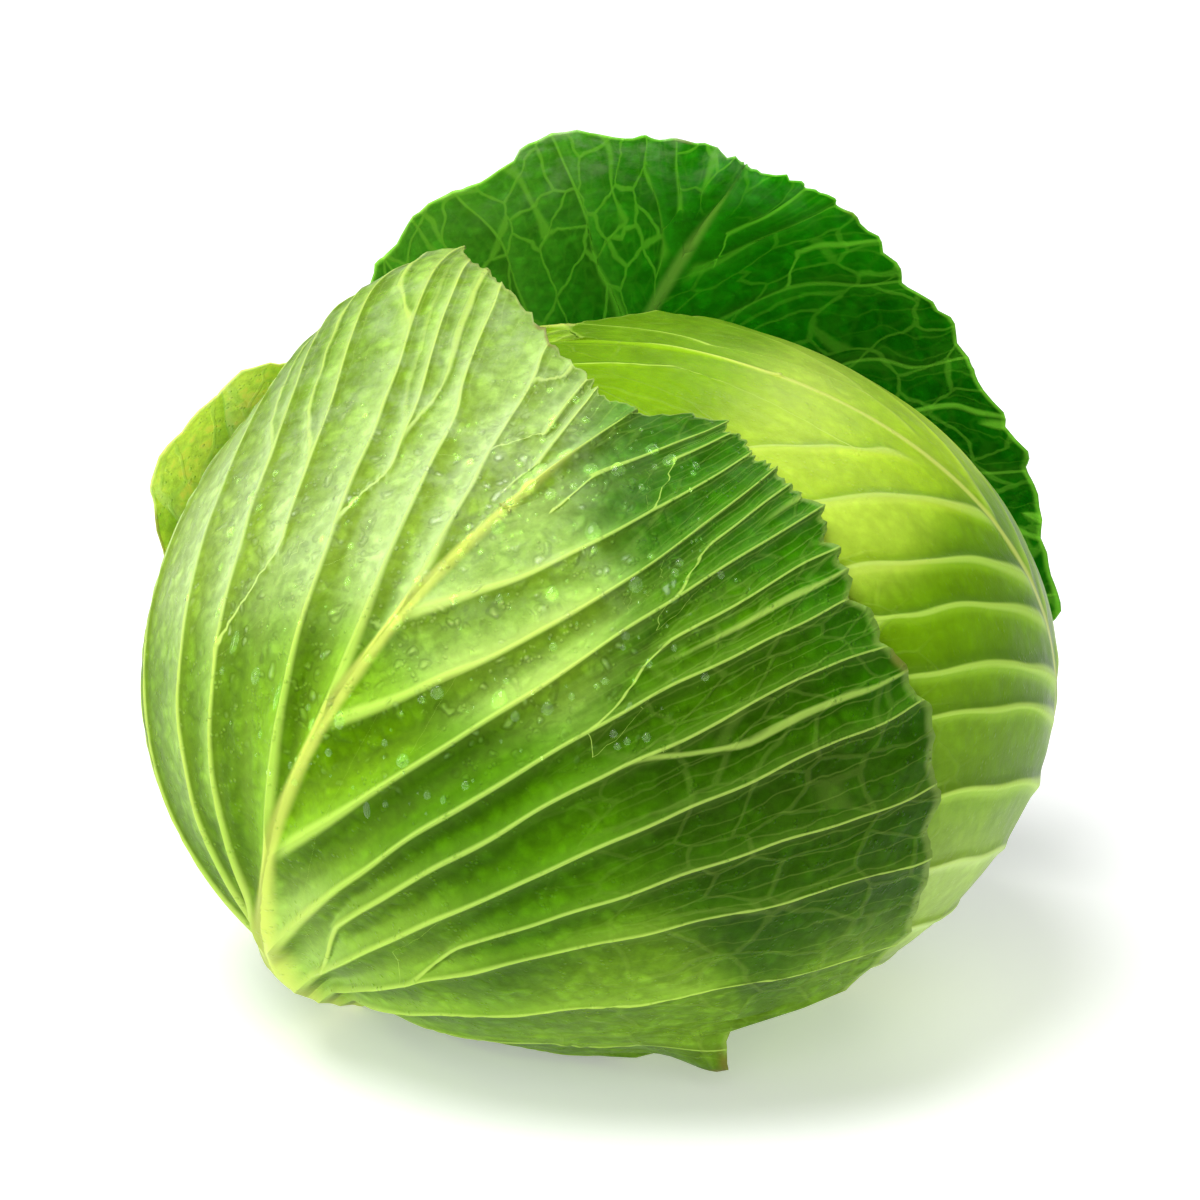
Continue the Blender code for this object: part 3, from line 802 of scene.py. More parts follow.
def head_surface(way):
    """From the head's centre to its surface, with the fields of the head's leaf that lies on top there."""
    rise = np.zeros(len(way))
    x = np.zeros(len(way))
    y = np.zeros(len(way))
    inside = np.zeros(len(way))
    for turned in range(HEAD_LEAVES):
        axes = leaf_axes(HEAD_FIRST_TURN + turned * HEAD_LEAF_TURN, HEAD_LEAF_MIDDLE)
        away = np.arccos(np.clip(way @ axes[0], -1, 1))
        ahead = np.arctan2(way @ axes[2], way @ axes[1])
        wave = rough(np.cos(ahead) * 5, np.sin(ahead) * 5, turned * 3.0)
        reach = HEAD_LEAF_REACH + HEAD_LEAF_WAVE * wave
        covered = away < reach
        step = HEAD_STEP * (turned + 1)
        over = smooth(0.0, math.radians(1.0), reach - away)
        rise = np.where(covered, rise + (step - rise) * over, rise)
        far = away * WRAP_RADIUS / MM
        x = np.where(covered, far * np.cos(ahead), x)
        y = np.where(covered, far * np.sin(ahead), y)
        inside = np.where(covered, away / reach, inside)
    count = (x + 95 - abs(y) * HEAD_RIB_SLANT) / HEAD_RIB_GAP
    count = count + 0.10 * rough(x / 15, y / 15)
    spacing = HEAD_RIB_GAP / math.hypot(1, HEAD_RIB_SLANT)
    away = abs(count - np.round(count))
    relief = 0.32 * (0.6 * (1 - 2 * away) ** 2 + 0.4 * bump(away * spacing, 1.0)) + 0.5 * bump(y, 2.4)
    relief = relief * smooth(0.0, 0.12, 1 - inside) + 0.12 * rough(x / 6, y / 6)
    from_stalk = np.arccos(np.clip(way @ STALK_AXIS, -1, 1))
    dimple = np.exp(-((from_stalk / DIMPLE_SPREAD) ** 4))
    reach = (head_radius(way) + rise + relief * MM) * (1 - dimple) + DIMPLE_RADIUS * dimple
    return reach, x, y, inside, count, spacing


def make_head(material):
    ball = bmesh.new()
    bmesh.ops.create_uvsphere(ball, u_segments=300, v_segments=190, radius=1.0)
    mesh = bpy.data.meshes.new("head_leaves")
    ball.to_mesh(mesh)
    ball.free()
    place = point_places(mesh).astype(float)
    way = place[:, :1] * SIDE_AXIS + place[:, 1:2] * FRONT_AXIS + place[:, 2:] * STALK_AXIS
    way /= np.linalg.norm(way, axis=1, keepdims=True)
    reach, x, y, inside, count, spacing = head_surface(way)
    points = HEAD_CENTRE + way * reach[:, None]
    points[:, 2] = np.maximum(points[:, 2], HEAD_REST_Z)
    mesh.vertices.foreach_set("co", points.astype(np.float32).ravel())
    still = np.ones(len(points))
    part = count - np.floor(count)
    fields = {
        "spacing": spacing * still,
        "share": inside,
        "ribbed": 0.8 * still,
        "netted": still,
        "wet": 0.0 * still,
        "branch": 50.0 * still,
        "fork": 50.0 * still,
        "forked": 0.0 * still,
        "midrib": abs(y) / 3.0,
        # Painted shade and painted light across each of the head's ribs: dark after one rib, pale before the
        # next.
        "lit": part,
    }
    for key, values in fields.items():
        give_field(mesh, key, values)
    give_colour(mesh, "tone", tone_colours(HEAD_TONES, points))
    give_map(mesh, "veins", count, np.hypot(x, y))
    close_seams(mesh)
    return place_piece(mesh, material, "head")


def make_stalk(material):
    """The cut butt of the stalk: a short round plug with rounded rims and a hollowed, slightly uneven cut
    face.
    """
    plug = bmesh.new()
    length = STALK_OUTER - STALK_INNER
    bmesh.ops.create_cone(
        plug, cap_ends=True, segments=96, radius1=STALK_RADIUS, radius2=STALK_RADIUS, depth=length
    )
    rims = [edge for edge in plug.edges if abs(edge.verts[0].co.z - edge.verts[1].co.z) < length / 2]
    bmesh.ops.bevel(
        plug, geom=rims, offset=1.2 * MM, segments=3, profile=0.5, affect="EDGES", material=-1
    )
    caps = [face for face in plug.faces if len(face.verts) > 8]
    for depth in range(12):
        bmesh.ops.inset_region(plug, faces=caps, thickness=1.05 * MM)
    bmesh.ops.poke(plug, faces=caps)
    axis = Vector(STALK_AXIS)
    turn = axis.to_track_quat("Z", "Y")
    middle = Vector(HEAD_CENTRE) + axis * (STALK_OUTER + STALK_INNER) / 2
    for vert in plug.verts:
        far = math.hypot(vert.co.x, vert.co.y) / STALK_RADIUS
        grain = noise.noise(vert.co / MM * 0.5) * 0.25 * MM
        if vert.co.z > length * 0.45 and far < 0.9:
            vert.co.z -= (0.9 * (1 - far * far) + 0.15) * MM - grain
        vert.co = middle + turn @ vert.co
    bmesh.ops.recalc_face_normals(plug, faces=plug.faces)
    mesh = bpy.data.meshes.new("stalk_butt")
    plug.to_mesh(mesh)
    plug.free()
    mesh.shade_smooth()
    return place_piece(mesh, material, "stalk")


class Bench:
    """A material's nodes, made and joined by short calls."""

    def __init__(self, name):
        self.material = bpy.data.materials.new(name)
        self.material.use_nodes = True
        self.tree = self.material.node_tree
        self.shader = self.tree.nodes["Principled BSDF"]

    def put(self, value, socket):
        if isinstance(value, bpy.types.NodeSocket):
            self.tree.links.new(value, socket)
        elif hasattr(value, "__len__") and len(value) == 3 and socket.type == "RGBA":
            socket.default_value = (*value, 1.0)
        else:
            socket.default_value = value

    def node(self, kind, **settings):
        made = self.tree.nodes.new(kind)
        for name, value in settings.items():
            setattr(made, name, value)
        return made

    def maths(self, operation, first, second=0.0, clamped=False):
        made = self.node("ShaderNodeMath", operation=operation, use_clamp=clamped)
        self.put(first, made.inputs[0])
        self.put(second, made.inputs[1])
        return made.outputs[0]

    def times(self, first, *others):
        """The product of two or more values."""
        for other in others:
            first = self.maths("MULTIPLY", first, other)
        return first

    def plus(self, first, *others):
        """The sum of two or more values."""
        for other in others:
            first = self.maths("ADD", first, other)
        return first

    def split(self, vector):
        """The three parts of a vector."""
        made = self.node("ShaderNodeSeparateXYZ")
        self.put(vector, made.inputs[0])
        return made.outputs

    def swung(self, vector, swing, amounts):
        """A vector moved by a noise's colour, by its own amount each way."""
        made = self.node("ShaderNodeVectorMath", operation="MULTIPLY_ADD")
        self.put(swing, made.inputs[0])
        made.inputs[1].default_value = amounts
        self.put(vector, made.inputs[2])
        return made.outputs[0]

    def rise(self, value, low, high, to_low=0.0, to_high=1.0):
        """A smooth change from to_low, where the value is low, to to_high, where it is high."""
        made = self.node("ShaderNodeMapRange", interpolation_type="SMOOTHSTEP")
        for given, socket in zip((value, low, high, to_low, to_high), made.inputs):
            self.put(given, socket)
        return made.outputs[0]

    def mix(self, amount, below, above):
        made = self.node("ShaderNodeMix", data_type="RGBA")
        self.put(amount, made.inputs["Factor"])
        self.put(below, made.inputs[6])
        self.put(above, made.inputs[7])
        return made.outputs[2]

    def line(self, distance, core, edge):
        """1 within the core of a line, and 0 past its edge."""
        return self.rise(distance, core, edge, 1.0, 0.0)

    def scaled(self, colour, factor, most=(1.0, 1.0, 1.0)):
        """A colour made lighter or darker, with each of its parts kept at or under a limit."""
        made = self.node("ShaderNodeVectorMath", operation="SCALE")
        self.put(colour, made.inputs[0])
        self.put(factor, made.inputs["Scale"])
        limit = self.node("ShaderNodeVectorMath", operation="MINIMUM")
        self.put(made.outputs[0], limit.inputs[0])
        limit.inputs[1].default_value = most
        return limit.outputs[0]

    def field(self, name, output="Fac"):
        return self.node("ShaderNodeAttribute", attribute_name=name).outputs[output]

    def place(self):
        return self.node("ShaderNodeTexCoord").outputs["Object"]

    def noise(self, vector, scale, detail=2.0, rough=0.5):
        made = self.node("ShaderNodeTexNoise")
        self.put(vector, made.inputs["Vector"])
        made.inputs["Scale"].default_value = scale
        made.inputs["Detail"].default_value = detail
        made.inputs["Roughness"].default_value = rough
        return made.outputs["Fac"]

    def cells(self, vector, scale, feature="DISTANCE_TO_EDGE", output="Distance"):
        made = self.node("ShaderNodeTexVoronoi", feature=feature)
        self.put(vector, made.inputs["Vector"])
        made.inputs["Scale"].default_value = scale
        return made.outputs[output]

    def finish(self, colour=None, roughness=None, height=None, depth=0.0002, strength=1.0, **constants):
        if colour is not None:
            self.put(colour, self.shader.inputs["Base Color"])
        if roughness is not None:
            self.put(roughness, self.shader.inputs["Roughness"])
        if height is not None:
            bumped = self.node("ShaderNodeBump")
            bumped.inputs["Distance"].default_value = depth
            bumped.inputs["Strength"].default_value = strength
            self.put(height, bumped.inputs["Height"])
            self.put(bumped.outputs[0], self.shader.inputs["Normal"])
        for name, value in constants.items():
            self.put(value, self.shader.inputs[name.replace("_", " ")])
        return self.material


# How many drops of each kind, their least and greatest radius in mm, and how finely they are rounded.
DROP_KINDS = ((26, 1.2, 1.7, 3), (80, 0.65, 1.0, 2), (260, 0.28, 0.5, 1))
# Drops that ran down and drew out: mm to the right and up in the front view, radius, and length to width.
LONG_DROPS = (
    (-76.7, 13.7, 0.9, 3.2),
    (-72.5, 6.3, 1.0, 2.6),
    (-64.0, -4.2, 0.9, 3.4),
    (-47.9, -31.5, 0.8, 2.8),
)
# The height of a drop over its radius, above and under the leaf's surface.
DROP_HIGH = 0.42
DROP_DEEP = 0.2
# Drops lie where the leaf faces the view by this much, and off the steepest sides of its ribs.
DROP_FACING = 0.25
DROP_STEEP = 0.42


def make_drops(blade, material):
    """Water drops: low domes of many sizes on the front leaf, drawn out a little down its slope."""
    mesh = blade.data
    points = np.array([vert.co for vert in mesh.vertices])
    normals = np.array([vert.normal for vert in mesh.vertices])
    across, up = view_place(points)
    reach = wet_reach(points)
    facing = normals @ np.array(VIEW_BACK)
    steep = abs(field_values(mesh, "lit") - 0.5)
    wet = np.flatnonzero((reach < 1) & (facing > DROP_FACING) & (steep < DROP_STEEP))
    draw = random.Random(11)
    wanted = []
    for count, least, most, rounds in DROP_KINDS:
        for _ in range(count):
            wanted.append((draw.choice(wet), draw.uniform(least, most), draw.uniform(1.0, 1.35), rounds))
    for right, high, radius, long in LONG_DROPS:
        index = wet[np.argmin(np.hypot(across[wet] - right, up[wet] - high))]
        wanted.insert(0, (index, radius, long, 3))
    water = bmesh.new()
    placed = []
    for index, radius, long, rounds in wanted:
        radius *= MM
        spot = Vector(points[index])
        if any((spot - other).length < (radius + size) * 1.1 for other, size in placed):
            continue
        placed.append((spot, radius))
        normal = Vector(normals[index])
        down = (Vector((0, 0, -1)) + normal * normal.z).normalized()
        side = normal.cross(down)
        dome = bmesh.ops.create_icosphere(water, subdivisions=rounds, radius=1.0)["verts"]
        for vert in dome:
            high = vert.co.z * (DROP_HIGH if vert.co.z > 0 else DROP_DEEP)
            narrow = 1 - 0.3 * max(-vert.co.x, 0.0)
            flat = down * (vert.co.x * long) + side * (vert.co.y * narrow)
            vert.co = spot + (flat + normal * high) * radius
    drops = bpy.data.meshes.new("water_drops")
    water.to_mesh(drops)
    water.free()
    drops.shade_smooth()
    drops.materials.append(material)
    piece = bpy.data.objects.new("water_drops", drops)
    piece.visible_shadow = False
    bpy.context.scene.collection.objects.link(piece)
    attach(piece, "root")
    return piece


def water_material():
    """Clear water, its surface barely uneven."""
    bench = Bench("water")
    ripple = bench.noise(bench.place(), 300.0, 1.0)
    return bench.finish(
        bench.mix(ripple, (0.78, 0.96, 0.52), (0.84, 1.0, 0.60)),
        bench.rise(ripple, 0.0, 1.0, 0.0, 0.03),
        Transmission_Weight=0.94,
        IOR=1.28,
    )


LeafLook = namedtuple(
    "LeafLook",
    "name rib_colour rib_width rib_strength vein_own net_strength net_width net_across net_long net_from"
    " hair_strength mottling dark_side pale_side lit_wash wash_colour wax blister bloom bloom_up dew"
    " midrib_colour roughness back_glow",
)


# A rib's colour is this much wider at the midrib than at the edge, and wider still at its base.
RIB_WIDE = (1.45, 0.6)
RIB_BASE = (0.3, 1.7)
# The part of a rib's half width that has its full colour.
RIB_CORE = 0.25
# Distances from a rib's middle, in mm: its pale halo, where blisters begin, and a fork's half width.
HALO = (0.5, 3.2)
BLISTERS_FROM = (0.5, 2.0)
FORK_LINE = (0.15, 0.9)
# The noise that swings the net and the blisters, and by how much.
SWING_SCALE = 110.0
NET_SWING = (0.35, 0.3, 0.0)
PUCKER = (0.009, 0.009, 0.009)
# The net shows where ribs are this far apart, in mm. Its fine part is this many times as dense.
NET_ROOM = (4.0, 10.0)
NET_FINE = 2.6
NET_FINE_STRENGTH = 0.15
# Hair veins between two ribs.
HAIRS = 4.0
# Sizes of the patterns on the skin, as scales of its noises and cells.
MOTTLE_SCALE = 420.0
CLOUD_SCALE = 70.0
BLISTER_SCALE = 230.0
BEAD_SCALE = 320.0
WET_SCALE = 130.0
DEW_SCALE = 760.0
GRAIN_SCALE = 1400.0
# How strongly each layer colours the skin.
# A painted glint on beads of water, in the wax's pale colour.
PAINTED_BEAD_GLINT = 0.4
HALO_STRENGTH = 0.06
FORK_STRENGTH = 0.75
RIM_STRENGTH = 0.5
NICK_STRENGTH = 0.7
DEW_WASH = 0.3


class LeafSkin:
    """The waxy skin of a leaf. Each method makes a layer of it, from fields that the leaf's mesh carries."""

    def __init__(self, look):
        bench = Bench(look.name)
        self.bench = bench
        self.look = look
        self.place = bench.place()
        veins = bench.node("ShaderNodeUVMap", uv_map="veins").outputs[0]
        self.count, self.far, _ = bench.split(veins)
        self.spacing = bench.field("spacing")
        self.share = bench.field("share")
        self.lit = bench.field("lit")
        self.wet = bench.field("wet")
        self.tone = bench.field("tone", "Color")
        # How pale the tone is, painted light included: it sets how much wax and grey show.
        parts = bench.node("ShaderNodeSeparateColor")
        bench.put(self.tone, parts.inputs[0])
        self.paleness = parts.outputs[1]
        self.swing = bench.node("ShaderNodeTexNoise")
        bench.put(self.place, self.swing.inputs["Vector"])
        self.swing.inputs["Scale"].default_value = SWING_SCALE
        self.puckered = bench.swung(self.place, self.swing.outputs["Color"], PUCKER)
        self.from_rib = bench.times(bench.maths("PINGPONG", self.count, 0.5), self.spacing)
        self.clouds = bench.noise(self.place, CLOUD_SCALE, 3.0, 0.55)
        self.mottle = bench.noise(self.place, MOTTLE_SCALE, 4.0, 0.65)

    def ribs(self):
        """The ribs, and the starts of those that branch off others."""
        bench = self.bench
        wide = bench.plus(
            bench.rise(self.share, 0.0, 1.0, *RIB_WIDE),
            bench.rise(self.share, 0.0, *RIB_BASE, 0.0),
        )
        edge = bench.times(wide, self.look.rib_width)
        core = bench.times(edge, RIB_CORE)
        rib = bench.times(bench.line(self.from_rib, core, edge), bench.field("ribbed"))
        branch = bench.line(bench.maths("ABSOLUTE", bench.field("branch")), core, edge)
        return bench.maths("MAXIMUM", rib, branch)

    def forks(self):
        """The thin veins that fork off into the blade between two ribs."""
        bench = self.bench
        fork = bench.line(bench.maths("ABSOLUTE", bench.field("fork")), *FORK_LINE)
        return bench.times(fork, bench.field("forked"), FORK_STRENGTH)

    def net(self):
        """The net of veins between the ribs, coarse and fine."""
        bench = self.bench
        look = self.look
        flat = bench.node("ShaderNodeCombineXYZ")
        bench.put(bench.times(self.count, look.net_across), flat.inputs[0])
        bench.put(bench.times(self.far, 1.0 / look.net_long), flat.inputs[1])
        swung = bench.swung(flat.outputs[0], self.swing.outputs["Color"], NET_SWING)
        coarse = bench.line(bench.cells(swung, 1.0), 0.01, look.net_width)
        fine = bench.line(bench.cells(swung, NET_FINE), 0.02, 0.14)
        net = bench.maths("ADD", coarse, bench.times(fine, NET_FINE_STRENGTH), clamped=True)
        room = bench.rise(self.spacing, *NET_ROOM)
        reach = bench.rise(self.share, look.net_from, look.net_from + 0.3)
        return bench.times(net, room, reach, bench.field("netted"))

    def hairs(self):
        """Hair-thin veins, side by side, in the outer half of the leaf."""
        bench = self.bench
        at = bench.plus(bench.times(self.count, HAIRS), self.swing.outputs["Fac"])
        away = bench.times(bench.maths("PINGPONG", at, 0.5), bench.times(self.spacing, 1.0 / HAIRS))
        return bench.times(bench.line(away, 0.05, 0.3), bench.rise(self.share, 0.5, 0.9))

    def blisters(self):
        """The blade's small blisters, off its ribs."""
        bench = self.bench
        blister = bench.line(bench.cells(self.puckered, BLISTER_SCALE, "F1"), 0.1, 0.65)
        return bench.times(blister, bench.rise(self.from_rib, *BLISTERS_FROM))

    def beads(self):
        """Small beads of water in the wet place, and the painted shade of the dark outlines round them."""
        bench = self.bench
        away = bench.cells(self.puckered, BEAD_SCALE, "F1")
        wet = bench.times(bench.rise(bench.noise(self.place, WET_SCALE, 3.0), 0.46, 0.56), self.wet)
        bead = bench.times(bench.line(away, 0.1, 0.34), wet)
        painted_bead_rim_shade = bench.times(bench.rise(away, 0.26, 0.36), bench.line(away, 0.4, 0.5), wet)
        return bead, painted_bead_rim_shade

    def dew(self):
        """A fine spray of dew, in patches."""
        bench = self.bench
        drop = bench.line(bench.cells(self.place, DEW_SCALE, "F1"), 0.1, 0.42)
        patch = bench.rise(bench.noise(self.place, 240.0, 2.0), 0.5, 0.62)
        return bench.times(drop, patch, self.look.dew)

    def wash(self):
        """The pale colour of the wax, which the skin also lays as painted light on the lit sides of ribs and
        as a painted glint on beads of water. The darker the tone, the less of the wax's own colour it has.
        """
        bench = self.bench
        waxed = bench.times(self.paleness, self.paleness, self.look.wax)
        return bench.mix(waxed, bench.scaled(self.tone, 1.9, WASH_LIMIT), self.look.wash_colour)

    def blade(self, blister, painted_bead_rim_shade):
        """The blade's colour, clouded, mottled and blistered, with painted shade on one side of each rib,
        painted light on the other, and painted shade round beads of water.
        """
        bench = self.bench
        look = self.look
        dimmed = 0.7 * look.mottling
        bright = bench.times(
            bench.rise(self.mottle, 0.25, 0.75, 1.0 - look.mottling, 1.0 + look.mottling),
            bench.rise(self.clouds, 0.3, 0.7, 0.9, 1.1),
            bench.rise(blister, 0.0, 1.0, 1.0 - dimmed, 1.0 + dimmed),
            bench.rise(painted_bead_rim_shade, 0.0, 1.0, 1.0, 0.78),
        )
        # Painted shade on the side of each rib away from the light, and painted light on the side towards it.
        sides = bench.node("ShaderNodeVectorMath", operation="MULTIPLY")
        bench.put(self.tone, sides.inputs[0])
        bench.put(bench.mix(bench.rise(self.lit, 0.1, 0.9), look.dark_side, look.pale_side), sides.inputs[1])
        return bench.scaled(sides.outputs[0], bright)

    def bloom(self):
        """Grey wax on the upper parts of pale leaves: partly the wax's own grey, partly a painted highlight
        where the light falls from above.
        """
        bench = self.bench
        look = self.look
        height = bench.split(self.place)[2]
        up = bench.rise(height, look.bloom_up, look.bloom_up + 0.05)
        dusty = bench.rise(bench.noise(self.place, 130.0, 5.0, 0.65), 0.4, 0.75)
        return bench.times(up, dusty, look.bloom, bench.rise(self.paleness, 0.05, 0.5))


def leaf_material(look):
    """Waxy leaf skin: a mottled blade, pale ribs and forks, and a fine net of veins between them."""
    skin = LeafSkin(look)
    bench = skin.bench
    forks = skin.forks()
    net = skin.net()
    blister = skin.blisters()
    bead, painted_bead_rim_shade = skin.beads()
    dew = skin.dew()
    wash = skin.wash()
    vein_colour = bench.mix(1.0 - look.vein_own, bench.scaled(skin.tone, 2.3, VEIN_LIMIT), look.rib_colour)
    # The midrib's colour, with painted light on its lit side and painted shade on the other.
    midrib_colour = bench.scaled(look.midrib_colour, bench.rise(skin.lit, 0.1, 0.8, 0.75, 1.12))
    # A painted highlight: the wax's pale colour laid over the lit side of each rib.
    painted_light_wash = bench.times(
        bench.rise(skin.lit, 0.55, 1.0), look.lit_wash, bench.rise(skin.paleness, 0.08, 0.4, 0.3, 1.0)
    )
    nicks = bench.rise(bench.noise(skin.place, 45.0), 0.6, 0.68)
    layers = (
        (painted_light_wash, wash),
        (bench.times(bead, PAINTED_BEAD_GLINT), wash),
        (bench.times(bench.line(skin.from_rib, *HALO), HALO_STRENGTH), vein_colour),
        (bench.times(skin.hairs(), look.hair_strength), vein_colour),
        (bench.times(net, look.net_strength), vein_colour),
        (forks, vein_colour),
        (bench.times(skin.ribs(), look.rib_strength), vein_colour),
        (bench.rise(bench.field("midrib"), 0.3, 1.25, 0.85, 0.0), midrib_colour),
        (bench.times(bench.rise(skin.share, 0.985, 0.999), RIM_STRENGTH), vein_colour),
        (bench.times(bench.rise(skin.share, 0.975, 0.995), nicks, NICK_STRENGTH), EDGE_BROWN),
        (skin.bloom(), BLOOM_AND_GLARE_GREY),
        (bench.times(dew, DEW_WASH), wash),
    )
    colour = skin.blade(blister, painted_bead_rim_shade)
    for amount, over in layers:
        colour = bench.mix(amount, colour, over)

    dry = bench.rise(skin.wet, 0.0, 1.0, 0.3, 1.0)
    height = bench.plus(
        bench.times(net, 0.6),
        bench.times(bench.noise(skin.place, GRAIN_SCALE, 3.0, 0.6), 0.35),
        bench.times(forks, 0.8),
        bench.times(skin.mottle, 0.7),
        bench.times(dew, 1.4),
        bench.times(blister, dry, look.blister),
        bench.times(bead, 2.4),
    )
    gloss = bench.rise(skin.clouds, 0.3, 0.7, look.roughness - 0.06, look.roughness + 0.08)
    return bench.finish(
        colour,
        bench.maths("SUBTRACT", gloss, bench.times(dew, 0.25)),
        height,
        depth=0.00022,
        strength=0.8,
        Subsurface_Weight=look.back_glow,
        Subsurface_Radius=(0.5, 1.0, 0.15),
        Subsurface_Scale=0.004,
        Coat_Weight=bench.times(bead, 0.6),
        Coat_Roughness=0.12,
        Specular_IOR_Level=0.08,
        Specular_Tint=(0.8, 1.0, 0.15),
    )


FRONT_LOOK = LeafLook(
    name="front_leaf_skin",
    rib_colour=RIB_LIME,
    rib_width=0.62,
    rib_strength=0.9,
    vein_own=0.35,
    net_strength=0.09,
    net_width=0.05,
    net_across=1.7,
    net_long=15.0,
    net_from=0.45,
    hair_strength=0.12,
    mottling=0.2,
    dark_side=(0.48, 0.58, 0.15),
    pale_side=(1.15, 1.18, 1.5),
    lit_wash=0.5,
    wash_colour=screen(190, 212, 150),
    wax=1.3,
    blister=2.2,
    bloom=0.25,
    bloom_up=0.09,
    dew=1.0,
    midrib_colour=RIB_CREAM,
    roughness=0.4,
    back_glow=0.12,
)
WRAPPER_LOOK = FRONT_LOOK._replace(
    name="wrapper_leaf_skin",
    rib_width=0.8,
    rib_strength=0.8,
    net_strength=0.1,
    net_long=12.0,
    mottling=0.07,
    dark_side=(0.5, 0.62, 0.05),
    pale_side=(1.32, 1.3, 1.5),
    wash_colour=screen(208, 228, 104),
    wax=0.8,
    blister=0.3,
    bloom=0.0,
    dew=0.25,
    roughness=0.4,
)
BACK_LOOK = FRONT_LOOK._replace(
    name="back_leaf_skin",
    rib_colour=screen(146, 214, 64),
    rib_width=0.8,
    rib_strength=0.95,
    vein_own=0.4,
    net_strength=0.75,
    net_width=0.045,
    net_across=2.0,
    net_long=14.0,
    net_from=-0.3,
    hair_strength=0.12,
    dark_side=(0.7, 0.75, 0.6),
    pale_side=(1.15, 1.15, 1.15),
    lit_wash=0.1,
    blister=0.8,
    bloom=1.0,
    bloom_up=0.14,
    dew=0.3,
    midrib_colour=screen(150, 210, 80),
    roughness=0.42,
)
LEFT_LOOK = FRONT_LOOK._replace(
    name="left_leaf_skin",
    rib_strength=0.5,
    net_strength=0.3,
    dark_side=(0.95, 0.95, 0.5),
    pale_side=(1.25, 1.2, 1.2),
    bloom=0.0,
    back_glow=0.35,
)
HEAD_LOOK = FRONT_LOOK._replace(
    name="head_skin",
    rib_width=1.4,
    rib_strength=0.6,
    net_strength=0.1,
    dark_side=(0.9, 0.9, 0.8),
    pale_side=(1.1, 1.1, 1.1),
    bloom=0.1,
)


def stalk_material():
    """A cut stalk: pale pith, a ring of darker bundles, and a browned rim."""
    bench = Bench("stalk_cut")
    place = bench.node("ShaderNodeMapping", vector_type="TEXTURE")
    bench.put(bench.place(), place.inputs["Vector"])
    turn = Vector(STALK_AXIS).to_track_quat("Z", "Y").to_euler()
    place.inputs["Location"].default_value = Vector(HEAD_CENTRE) + Vector(STALK_AXIS) * STALK_OUTER
    place.inputs["Rotation"].default_value = turn
    across, up, _ = bench.split(place.outputs[0])
    squared = bench.plus(bench.maths("POWER", across, 2.0), bench.maths("POWER", up, 2.0))
    far = bench.maths("DIVIDE", bench.maths("SQRT", squared), STALK_RADIUS)
    drift = bench.noise(place.outputs[0], 350.0, 4.0, 0.6)
    far = bench.plus(far, bench.times(bench.maths("SUBTRACT", drift, 0.5), 0.12))
    colour = bench.mix(bench.rise(far, 0.2, 0.75), screen(236, 238, 200), screen(206, 214, 150))
    ring = bench.times(bench.rise(far, 0.62, 0.74), bench.line(far, 0.78, 0.9))
    bundles = bench.line(bench.cells(place.outputs[0], 520.0, "F1"), 0.15, 0.45)
    colour = bench.mix(bench.times(ring, bundles), colour, screen(150, 168, 90))
    colour = bench.mix(bench.rise(far, 0.88, 1.02), colour, screen(150, 128, 78))
    stain = bench.rise(bench.noise(place.outputs[0], 160.0, 3.0, 0.6), 0.55, 0.75)
    colour = bench.mix(bench.times(stain, 0.4), colour, screen(172, 150, 96))
    fibres = bench.noise(place.outputs[0], 1800.0, 4.0, 0.7)
    return bench.finish(
        colour,
        bench.rise(fibres, 0.2, 0.8, 0.5, 0.75),
        fibres,
        depth=0.0003,
        strength=0.6,
        Subsurface_Weight=0.15,
        Subsurface_Radius=(1.0, 0.9, 0.5),
        Subsurface_Scale=0.003,
    )


def make_camera():
    lens = SENSOR * CAMERA_AWAY / VIEW_WIDTH
    data = bpy.data.cameras.new("front_view")
    data.lens = lens
    data.sensor_width = SENSOR
    data.clip_start = 0.1
    data.clip_end = 20.0
    camera = bpy.data.objects.new("front_view", data)
    bpy.context.scene.collection.objects.link(camera)
    camera.rotation_mode = "QUATERNION"
    camera.location = VIEW_MIDDLE + VIEW_UP * VIEW_LIFT + VIEW_BACK * CAMERA_AWAY
    camera.rotation_quaternion = (-VIEW_BACK).to_track_quat("-Z", "Y")
    bpy.context.scene.camera = camera


# The lamps: name, place and width in metres, and power in watts.
LAMPS = (
    ("key", (-0.40, -0.30, 1.40), 1.0, 21.0),
    ("fill", (0.10, -1.30, 0.80), 1.2, 6.0),
    ("left", (-1.10, -0.10, 0.40), 0.5, 2.5),
    ("rim", (0.5, 1.0, 0.9), 0.6, 3.5),
)
SKY_STRENGTH = 0.26
FLOOR_GLOW = 0.31
FLOOR_HALF = 5.0


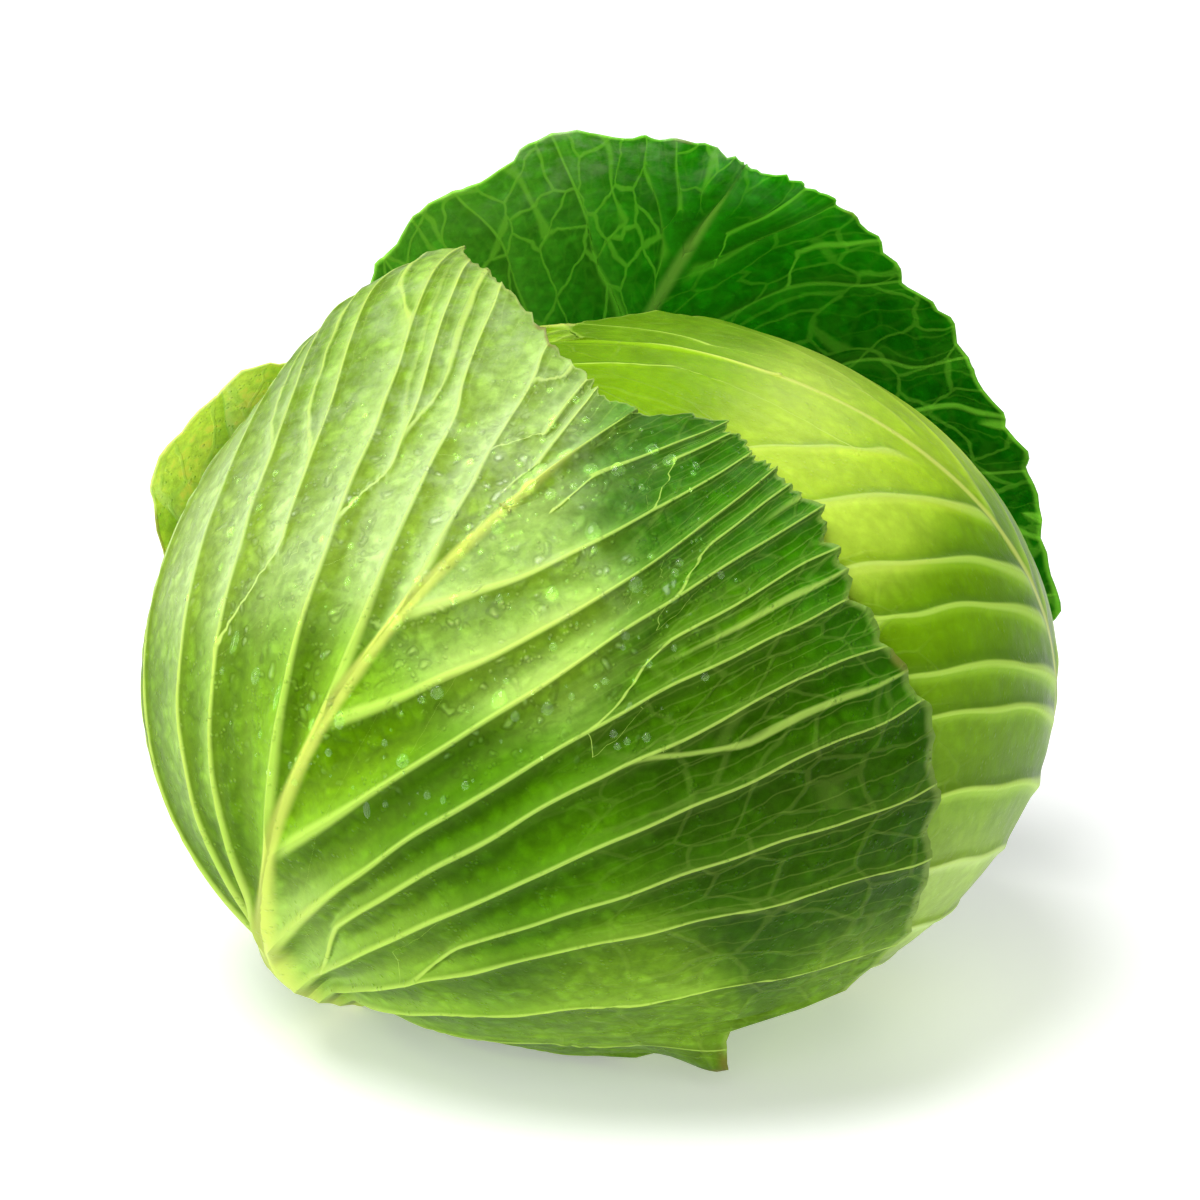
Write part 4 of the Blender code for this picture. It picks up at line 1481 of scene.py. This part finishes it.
def make_light(name, place, size, power):
    data = bpy.data.lights.new(name, "AREA")
    data.shape = "DISK"
    data.size = size
    data.energy = power
    lamp = bpy.data.objects.new(name, data)
    bpy.context.scene.collection.objects.link(lamp)
    lamp.rotation_mode = "QUATERNION"
    lamp.location = Vector(place)
    lamp.rotation_quaternion = (VIEW_MIDDLE - lamp.location).to_track_quat("-Z", "Y")


def make_lights():
    """A soft key from high on the left, weak fills from the front and left, and a rim light from behind."""
    for lamp in LAMPS:
        make_light(*lamp)
    world = bpy.data.worlds.new("studio")
    world.use_nodes = True
    sky = world.node_tree.nodes["Background"]
    sky.inputs["Color"].default_value = (1.0, 1.0, 1.0, 1.0)
    sky.inputs["Strength"].default_value = SKY_STRENGTH
    bpy.context.scene.world = world


def make_floor():
    sheet = bmesh.new()
    bmesh.ops.create_grid(sheet, x_segments=8, y_segments=8, size=FLOOR_HALF)
    mesh = bpy.data.meshes.new("floor")
    sheet.to_mesh(mesh)
    sheet.free()
    floor = bpy.data.objects.new("floor", mesh)
    bpy.context.scene.collection.objects.link(floor)
    bench = Bench("pale_floor")
    tint = bench.mix(bench.noise(bench.place(), 3.0), (0.93, 0.935, 0.93), (0.95, 0.95, 0.95))
    glow = {"Emission_Color": (1.0, 1.0, 1.0), "Emission_Strength": FLOOR_GLOW}
    mesh.materials.append(bench.finish(tint, 0.75, Specular_IOR_Level=0.1, **glow))


def main():
    make_camera()
    make_lights()
    make_floor()
    make_head(leaf_material(HEAD_LOOK))
    make_stalk(stalk_material())
    make_leaf(WRAPPER_LEAF, WRAPPER_TONES_AND_PAINTED_LIGHT, leaf_material(WRAPPER_LOOK))
    front = make_leaf(FRONT_LEAF, FRONT_TONES_AND_PAINTED_LIGHT, leaf_material(FRONT_LOOK))
    make_drops(front, water_material())
    make_leaf(LEFT_LEAF, LEFT_TONES_AND_PAINTED_GLOW, leaf_material(LEFT_LOOK))
    make_leaf(BACK_LEAF, BACK_TONES, leaf_material(BACK_LOOK))
    bpy.context.scene.view_settings.view_transform = "Standard"


main()
